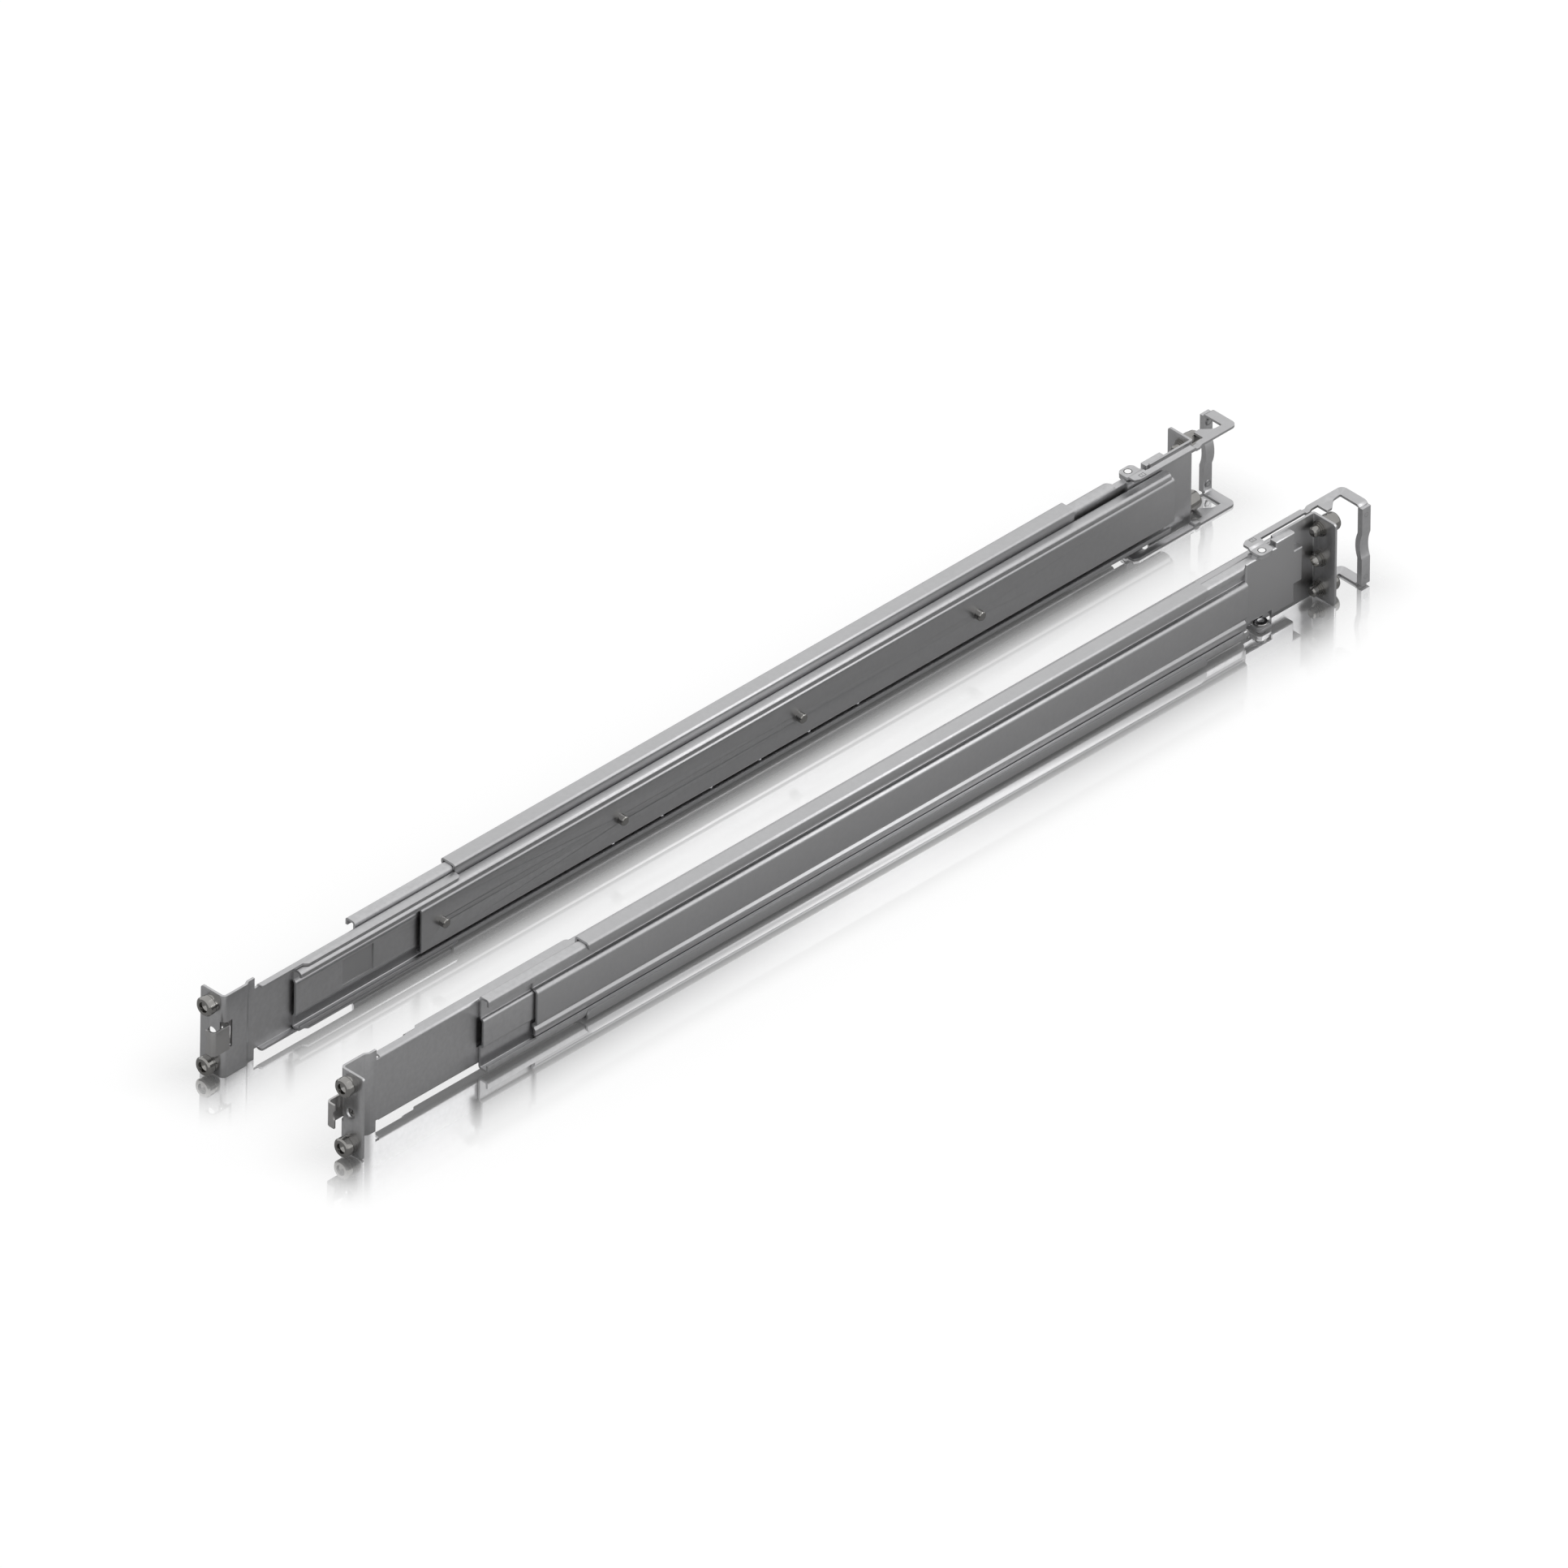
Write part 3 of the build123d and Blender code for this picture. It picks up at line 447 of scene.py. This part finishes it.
def metal_material(name, colour, roughness, clouds, grain, lines, reach, bump):
    """A plated metal: the plating, rolled grain and painted edge highlight groups feed one shader."""
    material = bpy.data.materials.new(name)
    material.use_nodes = True
    tree = material.node_tree
    shader = tree.nodes["Principled BSDF"]
    shader.inputs["Metallic"].default_value = 1.0
    coordinates = tree.nodes.new("ShaderNodeTexCoord")
    coordinates.name = "coordinates"
    vector = coordinates.outputs["Object"]
    plating = tree.nodes.new("ShaderNodeGroup")
    plating.node_tree = bpy.data.node_groups["plating"]
    plating.inputs["Colour"].default_value = (*colour, 1)
    plating.inputs["Roughness"].default_value = roughness
    plating.inputs["Cloud strength"].default_value = clouds
    plating.inputs["Grain strength"].default_value = grain
    link(tree, vector, plating.inputs["Vector"])
    edge = tree.nodes.new("ShaderNodeGroup")
    edge.node_tree = bpy.data.node_groups["painted_edge_highlight"]
    edge.inputs["Reach"].default_value = reach
    link(tree, vector, edge.inputs["Vector"])
    # Painted highlight: the base colour is lighter on sharp edges, where light would glint
    bright = tree.nodes.new("ShaderNodeMix")
    bright.data_type = "RGBA"
    bright.inputs["B"].default_value = (*[min(1.0, c * EDGE_HIGHLIGHT_GAIN) for c in colour], 1)
    link(tree, edge.outputs["Mask"], bright.inputs["Factor"])
    link(tree, plating.outputs["Colour"], bright.inputs["A"])
    link(tree, bright.outputs["Result"], shader.inputs["Base Color"])
    link(tree, plating.outputs["Roughness"], shader.inputs["Roughness"])
    height = plating.outputs["Height"]
    if lines:
        grain_lines = tree.nodes.new("ShaderNodeGroup")
        grain_lines.node_tree = bpy.data.node_groups["rolled_grain"]
        grain_lines.inputs["Lines per metre"].default_value = lines
        link(tree, vector, grain_lines.inputs["Vector"])
        height = math_node(tree, "ADD", height, grain_lines.outputs["Height"])
    relief = tree.nodes.new("ShaderNodeBump")
    relief.inputs["Strength"].default_value = bump
    relief.inputs["Distance"].default_value = BUMP_DISTANCE
    link(tree, height, relief.inputs["Height"])
    link(tree, relief.outputs["Normal"], shader.inputs["Normal"])
    return material


class RAIL_OT_finishes(bpy.types.Operator):
    """Makes the metals: plated sheet, turned nickel, spring, cage and bearing steel"""

    bl_idname = "rail.finishes"
    bl_label = "Make the metals"

    def execute(self, context):
        finish = context.scene.rail_finish
        rolled_grain_group()
        plating_group()
        painted_edge_highlight_group()
        ring_mark_group()
        stamp_shade_mark_group()
        metal_material("zinc_sheet", finish.zinc, finish.zinc_roughness,
                       clouds=0.06, grain=0.08, lines=2600.0, reach=0.5, bump=0.07)
        metal_material("turned_nickel", finish.nickel, finish.nickel_roughness,
                       clouds=0.06, grain=0.04, lines=0.0, reach=0.3, bump=0.03)
        metal_material("spring_strip", finish.spring, finish.zinc_roughness,
                       clouds=0.08, grain=0.06, lines=0.0, reach=0.5, bump=0.06)
        metal_material("pressed_cage", finish.cage, finish.zinc_roughness,
                       clouds=0.08, grain=0.06, lines=0.0, reach=0.5, bump=0.05)
        metal_material("ground_balls", finish.bearing, BALL_ROUGHNESS,
                       clouds=0.03, grain=0.0, lines=0.0, reach=0.0, bump=0.0)
        return {"FINISHED"}


def dress(node, material, detail, width=0.0):
    """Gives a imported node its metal, joins its loose triangles and can break its sharp edges."""
    node.data.materials.clear()
    node.data.materials.append(bpy.data.materials[material])
    joined = node.modifiers.new("joined", "WELD")
    joined.merge_threshold = detail.merge_distance
    if width:
        broken = node.modifiers.new("broken_edges", "BEVEL")
        broken.width = width
        broken.segments = EDGE_SEGMENTS
        broken.limit_method = "ANGLE"
        broken.angle_limit = detail.sharp_angle
    smooth = node.modifiers.new("smooth", "NODES")
    smooth.node_group = bpy.data.node_groups["smooth_by_angle"]


def smooth_tree(angle):
    """A modifier tree that shades faces smooth, apart from edges that turn more than the angle."""
    tree = bpy.data.node_groups.new("smooth_by_angle", "GeometryNodeTree")
    tree.is_modifier = True
    tree.interface.new_socket("Geometry", in_out="INPUT", socket_type="NodeSocketGeometry")
    limit = tree.interface.new_socket("Angle", in_out="INPUT", socket_type="NodeSocketFloat")
    limit.default_value = angle
    tree.interface.new_socket("Geometry", in_out="OUTPUT", socket_type="NodeSocketGeometry")
    entry = tree.nodes.new("NodeGroupInput")
    leave = tree.nodes.new("NodeGroupOutput")
    edge = tree.nodes.new("GeometryNodeInputMeshEdgeAngle")
    sharp = tree.nodes.new("FunctionNodeCompare")
    sharp.data_type = "FLOAT"
    sharp.operation = "GREATER_THAN"
    link(tree, edge.outputs["Unsigned Angle"], sharp.inputs["A"])
    link(tree, entry.outputs["Angle"], sharp.inputs["B"])
    faces = tree.nodes.new("GeometryNodeSetShadeSmooth")
    faces.domain = "FACE"
    edges = tree.nodes.new("GeometryNodeSetShadeSmooth")
    edges.domain = "EDGE"
    link(tree, entry.outputs["Geometry"], faces.inputs["Geometry"])
    link(tree, faces.outputs["Geometry"], edges.inputs["Geometry"])
    link(tree, sharp.outputs["Result"], edges.inputs["Selection"])
    edges.inputs["Shade Smooth"].default_value = False
    link(tree, edges.outputs["Geometry"], leave.inputs["Geometry"])
    return tree


class RAIL_OT_sheet(bpy.types.Operator):
    """Finishes every folded and rolled sheet piece"""

    bl_idname = "rail.sheet"
    bl_label = "Finish the sheet pieces"

    def execute(self, context):
        detail = context.scene.rail_detail
        smooth_tree(detail.sharp_angle)
        for side in SIDES:
            for name in SHEET_PIECES:
                dress(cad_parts[f"{name}_{side}"], "zinc_sheet", detail, detail.edge_width)
            dress(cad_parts[f"latch_grip_{side}"], "zinc_sheet", detail)
            dress(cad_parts[f"front_hook_{side}"], "spring_strip", detail, detail.edge_width)
            dress(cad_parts[f"latch_spring_{side}"], "spring_strip", detail)
            dress(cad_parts[f"ball_cages_{side}"], "pressed_cage", detail, detail.edge_width / 2)
        return {"FINISHED"}


class RAIL_OT_marks(bpy.types.Operator):
    """Paints shade into the latch strips' embossed marks, a highlight and a ring of shade on the latch
    pivots, and marks the rivets of the grips
    """

    bl_idname = "rail.marks"
    bl_label = "Mark the latches"

    def execute(self, context):
        finish = context.scene.rail_finish
        # Painted shade: a darker zinc for the embossed mark's lines and for the gap about each pivot
        painted_shade = [c * MARK_SHADE for c in finish.zinc]
        for side in SIDES:
            strip = bpy.data.materials["zinc_sheet"].copy()
            strip.name = f"stamp_shaded_strip_{side}"
            _, strip_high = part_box(f"latch_arm_upper_{side}")
            stamp = place(side, STAMP_OUT, STAMP_ALONG, 0)
            # Painted shade stands for the embossed lines of the mark
            add_mark(strip, "stamp_shade_mark", painted_shade, Centre=(stamp.x, stamp.y, strip_high.z))
            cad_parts[f"latch_arm_upper_{side}"].data.materials[0] = strip
            pivot = bpy.data.materials["turned_nickel"].copy()
            pivot.name = f"pivot_highlight_steel_{side}"
            centre = middle(f"latch_eyelets_{side}")
            # Painted highlight on the pivot's face, and a ring of painted shade in the gap about it
            add_mark(pivot, "ring_mark", PIVOT_HIGHLIGHT, Centre=centre, Outer=PIVOT_RIM)
            add_mark(pivot, "ring_mark", painted_shade, Centre=centre, Inner=PIVOT_RIM, Outer=2 * PIVOT_RIM)
            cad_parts[f"latch_eyelets_{side}"].data.materials[0] = pivot
            rivet = bpy.data.materials["zinc_sheet"].copy()
            rivet.name = f"flush_rivet_{side}"
            low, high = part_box(f"grip_rivets_{side}")
            for up in (low.z + RIVET_HEAD, high.z - RIVET_HEAD):
                add_mark(rivet, "ring_mark", [c * RIVET_SHADE for c in finish.zinc],
                         Centre=((low.x + high.x) / 2, (low.y + high.y) / 2, up), Across=(0, 1, 1),
                         Inner=RIVET_RIM, Outer=RIVET_HEAD)
            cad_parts[f"grip_rivets_{side}"].data.materials[0] = rivet
        return {"FINISHED"}


class RAIL_OT_turned(bpy.types.Operator):
    """Finishes the pins, studs, rivets and collars"""

    bl_idname = "rail.turned"
    bl_label = "Finish the turned pieces"

    def execute(self, context):
        detail = context.scene.rail_detail
        for side in SIDES:
            for name in TURNED_PIECES:
                dress(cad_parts[f"{name}_{side}"], "turned_nickel", detail)
        return {"FINISHED"}


def modifier_input(modifier, label, value):
    """Sets a tree's named input on its modifier, by the socket's identifier."""
    for item in modifier.node_group.interface.items_tree:
        if item.item_type == "SOCKET" and item.in_out == "INPUT" and item.name == label:
            modifier[item.identifier] = value
            return
    raise KeyError(f"the tree has no input named {label}")


def made_plain(name, tree, values):
    """Runs a tree on an empty mesh with its values and returns the result as a plain mesh object."""
    carrier = bpy.data.objects.new(name, bpy.data.meshes.new(name))
    bpy.context.scene.collection.objects.link(carrier)
    modifier = carrier.modifiers.new("made", "NODES")
    modifier.node_group = tree
    for label, value in values.items():
        modifier_input(modifier, label, value)
    evaluated = carrier.evaluated_get(bpy.context.evaluated_depsgraph_get())
    mesh = bpy.data.meshes.new_from_object(evaluated)
    carrier.modifiers.remove(modifier)
    carrier.data = mesh
    return carrier


def ball_row_tree():
    """Balls evenly spaced along one straight row."""
    tree = bpy.data.node_groups.new("ball_row", "GeometryNodeTree")
    for label, kind in (("Start", "NodeSocketVector"), ("Step", "NodeSocketVector"),
                        ("Count", "NodeSocketInt"), ("Radius", "NodeSocketFloat"),
                        ("Metal", "NodeSocketMaterial")):
        tree.interface.new_socket(label, in_out="INPUT", socket_type=kind)
    tree.interface.new_socket("Geometry", in_out="OUTPUT", socket_type="NodeSocketGeometry")
    entry = tree.nodes.new("NodeGroupInput")
    leave = tree.nodes.new("NodeGroupOutput")
    line = tree.nodes.new("GeometryNodeMeshLine")
    line.mode = "OFFSET"
    link(tree, entry.outputs["Count"], line.inputs["Count"])
    link(tree, entry.outputs["Start"], line.inputs["Start Location"])
    link(tree, entry.outputs["Step"], line.inputs["Offset"])
    ball = tree.nodes.new("GeometryNodeMeshIcoSphere")
    ball.inputs["Subdivisions"].default_value = BALL_SUBDIVISIONS
    link(tree, entry.outputs["Radius"], ball.inputs["Radius"])
    round_ball = tree.nodes.new("GeometryNodeSetShadeSmooth")
    link(tree, ball.outputs["Mesh"], round_ball.inputs["Geometry"])
    copies = tree.nodes.new("GeometryNodeInstanceOnPoints")
    link(tree, line.outputs["Mesh"], copies.inputs["Points"])
    link(tree, round_ball.outputs["Geometry"], copies.inputs["Instance"])
    real = tree.nodes.new("GeometryNodeRealizeInstances")
    link(tree, copies.outputs["Instances"], real.inputs["Geometry"])
    metal = tree.nodes.new("GeometryNodeSetMaterial")
    link(tree, real.outputs["Geometry"], metal.inputs["Geometry"])
    link(tree, entry.outputs["Metal"], metal.inputs["Material"])
    link(tree, metal.outputs["Geometry"], leave.inputs["Geometry"])
    return tree


def joined(name, pieces):
    """One plain object from several, in the order given."""
    first = pieces[0]
    with bpy.context.temp_override(active_object=first, selected_editable_objects=pieces):
        bpy.ops.object.join()
    first.name = name
    return first


class RAIL_OT_balls(bpy.types.Operator):
    """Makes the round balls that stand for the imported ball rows"""

    bl_idname = "rail.balls"
    bl_label = "Make the bearing balls"

    def execute(self, context):
        detail = context.scene.rail_detail
        tree = ball_row_tree()
        for side in SIDES:
            node = f"slide_balls_{side}"
            low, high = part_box(node)
            radius = detail.ball_radius
            steps = detail.balls_in_row - 1
            pitch = (high.y - low.y - 2 * radius) / steps
            rows = []
            for level, up in (("low", low.z + radius), ("high", high.z - radius)):
                rows.append(made_plain(f"balls_{level}_{side}", tree, {
                    "Start": ((low.x + high.x) / 2, low.y + radius, up),
                    "Step": (0.0, pitch, 0.0),
                    "Count": detail.balls_in_row,
                    "Radius": radius,
                    "Metal": bpy.data.materials["ground_balls"],
                }))
            balls = joined(f"bearing_balls_{side}", rows)
            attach(balls, f"{side}_ball_cages")
            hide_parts(node)
        return {"FINISHED"}


def coil_tree():
    """A closed torsion coil: round wire wound on a helix."""
    tree = bpy.data.node_groups.new("torsion_coil", "GeometryNodeTree")
    for label, kind in (("Foot", "NodeSocketVector"), ("Turns", "NodeSocketFloat"),
                        ("Radius", "NodeSocketFloat"), ("Height", "NodeSocketFloat"),
                        ("Wire radius", "NodeSocketFloat"), ("Metal", "NodeSocketMaterial")):
        tree.interface.new_socket(label, in_out="INPUT", socket_type=kind)
    tree.interface.new_socket("Geometry", in_out="OUTPUT", socket_type="NodeSocketGeometry")
    entry = tree.nodes.new("NodeGroupInput")
    leave = tree.nodes.new("NodeGroupOutput")
    helix = tree.nodes.new("GeometryNodeCurveSpiral")
    helix.inputs["Resolution"].default_value = COIL_RESOLUTION
    link(tree, entry.outputs["Turns"], helix.inputs["Rotations"])
    link(tree, entry.outputs["Radius"], helix.inputs["Start Radius"])
    link(tree, entry.outputs["Radius"], helix.inputs["End Radius"])
    link(tree, entry.outputs["Height"], helix.inputs["Height"])
    wire = tree.nodes.new("GeometryNodeCurvePrimitiveCircle")
    wire.inputs["Resolution"].default_value = WIRE_RESOLUTION
    link(tree, entry.outputs["Wire radius"], wire.inputs["Radius"])
    tube = tree.nodes.new("GeometryNodeCurveToMesh")
    tube.inputs["Fill Caps"].default_value = True
    link(tree, helix.outputs["Curve"], tube.inputs["Curve"])
    link(tree, wire.outputs["Curve"], tube.inputs["Profile Curve"])
    placed = tree.nodes.new("GeometryNodeTransform")
    link(tree, tube.outputs["Mesh"], placed.inputs["Geometry"])
    link(tree, entry.outputs["Foot"], placed.inputs["Translation"])
    real = tree.nodes.new("GeometryNodeRealizeInstances")
    link(tree, placed.outputs["Geometry"], real.inputs["Geometry"])
    metal = tree.nodes.new("GeometryNodeSetMaterial")
    link(tree, real.outputs["Geometry"], metal.inputs["Geometry"])
    link(tree, entry.outputs["Metal"], metal.inputs["Material"])
    link(tree, metal.outputs["Geometry"], leave.inputs["Geometry"])
    return tree


class RAIL_OT_coils(bpy.types.Operator):
    """Winds the torsion coils of the front hooks"""

    bl_idname = "rail.coils"
    bl_label = "Wind the torsion coils"

    def execute(self, context):
        detail = context.scene.rail_detail
        tree = coil_tree()
        for side in SIDES:
            node = f"hook_spring_{side}"
            low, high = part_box(node)
            wire = (high.z - low.z) / (2 * (detail.coil_turns + 1))
            centre = middle(node)
            coil = made_plain(f"hook_spring_coil_{side}", tree, {
                "Foot": (centre.x, centre.y, low.z + wire),
                "Turns": detail.coil_turns,
                "Radius": (high.x - low.x) / 2 - wire,
                "Height": high.z - low.z - 2 * wire,
                "Wire radius": wire * WIRE_PLAY,
                "Metal": bpy.data.materials["spring_strip"],
            })
            for polygon in coil.data.polygons:
                polygon.use_smooth = True
            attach(coil, "front_units")
            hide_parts(node)
        return {"FINISHED"}


def contact_mask_group():
    """A mask that is 1 under a box on the floor and falls to 0 at a distance from it."""
    group, entry, leave = new_group(
        "contact_mask",
        [
            ("Vector", "NodeSocketVector", (0, 0, 0)),
            ("Centre", "NodeSocketVector", (0, 0, 0)),
            ("Half size", "NodeSocketVector", (0.1, 0.1, 0)),
            ("Reach", "NodeSocketFloat", 0.04),
        ],
        [("Mask", "NodeSocketFloat")],
    )
    shifted = vector_node(group, "SUBTRACT", entry.outputs["Vector"], entry.outputs["Centre"])
    folded = vector_node(group, "ABSOLUTE", shifted)
    past = vector_node(group, "SUBTRACT", folded, entry.outputs["Half size"])
    outside = group.nodes.new("ShaderNodeVectorMath")
    outside.operation = "MAXIMUM"
    outside.inputs[1].default_value = (0, 0, 0)
    link(group, past, outside.inputs[0])
    flat = group.nodes.new("ShaderNodeVectorMath")
    flat.operation = "MULTIPLY"
    flat.inputs[1].default_value = (1, 1, 0)
    link(group, outside.outputs[0], flat.inputs[0])
    length = group.nodes.new("ShaderNodeVectorMath")
    length.operation = "LENGTH"
    link(group, flat.outputs[0], length.inputs[0])
    run = math_node(group, "DIVIDE", length.outputs["Value"], entry.outputs["Reach"])
    left = math_node(group, "MAXIMUM", math_node(group, "SUBTRACT", 1.0, run), 0.0)
    link(group, math_node(group, "POWER", left, MIRROR_FALL), leave.inputs["Mask"])
    return group


def floor_material(stage):
    """A pale floor that keeps the shadow, is white to the camera and mirrors what stands near."""
    material = bpy.data.materials.new("pale_floor")
    material.use_nodes = True
    tree = material.node_tree
    tree.nodes.clear()
    out = tree.nodes.new("ShaderNodeOutputMaterial")
    matt = tree.nodes.new("ShaderNodeBsdfDiffuse")
    matt.inputs["Color"].default_value = (*stage.floor_colour, 1)
    white = tree.nodes.new("ShaderNodeEmission")
    path = tree.nodes.new("ShaderNodeLightPath")
    camera = math_node(tree, "MULTIPLY", path.outputs["Is Camera Ray"], stage.floor_lift)
    metal = math_node(tree, "MAXIMUM", path.outputs["Is Glossy Ray"], path.outputs["Is Transmission Ray"])
    seen = math_node(tree, "ADD", camera, math_node(tree, "MULTIPLY", metal, stage.floor_in_metal))
    link(tree, seen, white.inputs["Strength"])
    lift = tree.nodes.new("ShaderNodeAddShader")
    link(tree, matt.outputs[0], lift.inputs[0])
    link(tree, white.outputs[0], lift.inputs[1])
    vector = tree.nodes.new("ShaderNodeTexCoord").outputs["Object"]
    contact_mask_group()
    masks = []
    for side in SIDES:
        near, far = sorted((place(side, 0, 0, 0).x, place(side, RAIL_WIDTH, 0, 0).x))
        mask = tree.nodes.new("ShaderNodeGroup")
        mask.node_tree = bpy.data.node_groups["contact_mask"]
        mask.inputs["Centre"].default_value = ((near + far) / 2, (cad_low.y + cad_high.y) / 2, 0)
        mask.inputs["Half size"].default_value = ((far - near) / 2, (cad_high.y - cad_low.y) / 2, 0)
        mask.inputs["Reach"].default_value = stage.reflection_reach
        link(tree, vector, mask.inputs["Vector"])
        masks.append(mask.outputs["Mask"])
    share = math_node(tree, "MULTIPLY", math_node(tree, "MAXIMUM", *masks), stage.floor_reflection)
    share = math_node(tree, "MULTIPLY", share, path.outputs["Is Camera Ray"])
    gloss = tree.nodes.new("ShaderNodeBsdfAnisotropic")
    gloss.inputs["Roughness"].default_value = MIRROR_ROUGHNESS
    mirror = tree.nodes.new("ShaderNodeMixShader")
    link(tree, share, mirror.inputs["Fac"])
    link(tree, lift.outputs[0], mirror.inputs[1])
    link(tree, gloss.outputs[0], mirror.inputs[2])
    link(tree, mirror.outputs[0], out.inputs["Surface"])
    return material


def soft_lamp(name, position, target, size, power):
    """A rectangular soft box that points at a place."""
    data = bpy.data.lights.new(name, "AREA")
    data.shape = "RECTANGLE"
    data.size, data.size_y = size
    data.energy = power
    lamp = bpy.data.objects.new(name, data)
    bpy.context.scene.collection.objects.link(lamp)
    lamp.location = position
    lamp.rotation_euler = (Vector(target) - Vector(position)).to_track_quat("-Z", "Y").to_euler()


def studio_world(brightness):
    """Even walls and ceiling that are white to the camera."""
    world = bpy.data.worlds.new("studio")
    world.use_nodes = True
    tree = world.node_tree
    tree.nodes.clear()
    out = tree.nodes.new("ShaderNodeOutputWorld")
    soft = tree.nodes.new("ShaderNodeBackground")
    soft.inputs["Color"].default_value = (1, 1, 1, 1)
    soft.inputs["Strength"].default_value = brightness
    white = tree.nodes.new("ShaderNodeBackground")
    white.inputs["Strength"].default_value = 1.0
    white.inputs["Color"].default_value = (1, 1, 1, 1)
    path = tree.nodes.new("ShaderNodeLightPath")
    mix = tree.nodes.new("ShaderNodeMixShader")
    link(tree, path.outputs["Is Camera Ray"], mix.inputs["Fac"])
    link(tree, soft.outputs[0], mix.inputs[1])
    link(tree, white.outputs[0], mix.inputs[2])
    link(tree, mix.outputs[0], out.inputs["Surface"])
    bpy.context.scene.world = world


class RAIL_OT_stage(bpy.types.Operator):
    """Lays the pale floor, hangs the long soft lamp and sets the camera"""

    bl_idname = "rail.stage"
    bl_label = "Set the stage"

    def execute(self, context):
        stage = context.scene.rail_stage
        mesh = bpy.data.meshes.new("floor")
        low = cad_low.z - FLOOR_DROP
        corners = [(x * FLOOR_HALF, y * FLOOR_HALF, low) for x, y in ((-1, -1), (1, -1), (1, 1), (-1, 1))]
        mesh.from_pydata(corners, [], [(0, 1, 2, 3)])
        floor = bpy.data.objects.new("floor", mesh)
        context.scene.collection.objects.link(floor)
        mesh.materials.append(floor_material(stage))
        studio_world(stage.sky)
        _, strip_y, _ = stage.strip_place
        soft_lamp("strip", stage.strip_place, (0, strip_y, MID_HEIGHT), STRIP_SIZE, stage.strip_power)
        data = bpy.data.cameras.new("view")
        data.type = "ORTHO"
        data.ortho_scale = stage.view_width
        data.clip_end = CAMERA_REACH
        camera = bpy.data.objects.new("view", data)
        context.scene.collection.objects.link(camera)
        azimuth, elevation = stage.camera_azimuth, stage.camera_elevation
        back = Vector((
            math.sin(azimuth) * math.cos(elevation),
            -math.cos(azimuth) * math.cos(elevation),
            math.sin(elevation),
        ))
        facing = (-back).to_track_quat("-Z", "Y").to_matrix()
        turn = Matrix.Rotation(stage.camera_roll, 3, "Z")
        stand = Matrix.Translation(Vector(stage.view_target) + back * CAMERA_DISTANCE)
        camera.matrix_world = stand @ (facing @ turn).to_4x4()
        context.scene.camera = camera
        context.scene.view_settings.view_transform = "Standard"
        return {"FINISHED"}


STEPS = (RAIL_OT_finishes, RAIL_OT_sheet, RAIL_OT_turned, RAIL_OT_marks, RAIL_OT_balls, RAIL_OT_coils,
         RAIL_OT_stage)


class RAIL_PT_panel(bpy.types.Panel):
    """Lists the steps that dress the rails"""

    bl_idname = "RAIL_PT_panel"
    bl_label = "Rail Pair"
    bl_space_type = "VIEW_3D"
    bl_region_type = "UI"
    bl_category = "Rail Pair"

    def draw(self, context):
        for group in (context.scene.rail_finish, context.scene.rail_detail, context.scene.rail_stage):
            box = self.layout.box()
            for name in group.__annotations__:
                box.prop(group, name)
        for step in STEPS:
            self.layout.operator(step.bl_idname)


PROPERTY_GROUPS = (RailFinish, RailDetail, RailStage)


def register():
    for cls in (*PROPERTY_GROUPS, *STEPS, RAIL_PT_panel):
        bpy.utils.register_class(cls)
    bpy.types.Scene.rail_finish = bpy.props.PointerProperty(type=RailFinish)
    bpy.types.Scene.rail_detail = bpy.props.PointerProperty(type=RailDetail)
    bpy.types.Scene.rail_stage = bpy.props.PointerProperty(type=RailStage)


def unregister():
    del bpy.types.Scene.rail_finish
    del bpy.types.Scene.rail_detail
    del bpy.types.Scene.rail_stage
    for cls in reversed((*PROPERTY_GROUPS, *STEPS, RAIL_PT_panel)):
        bpy.utils.unregister_class(cls)


def main():
    """Dresses the rails from first to last."""
    register()
    bpy.ops.rail.finishes()
    bpy.ops.rail.sheet()
    bpy.ops.rail.turned()
    bpy.ops.rail.marks()
    bpy.ops.rail.balls()
    bpy.ops.rail.coils()
    bpy.ops.rail.stage()


if __name__ == "__main__":
    main()
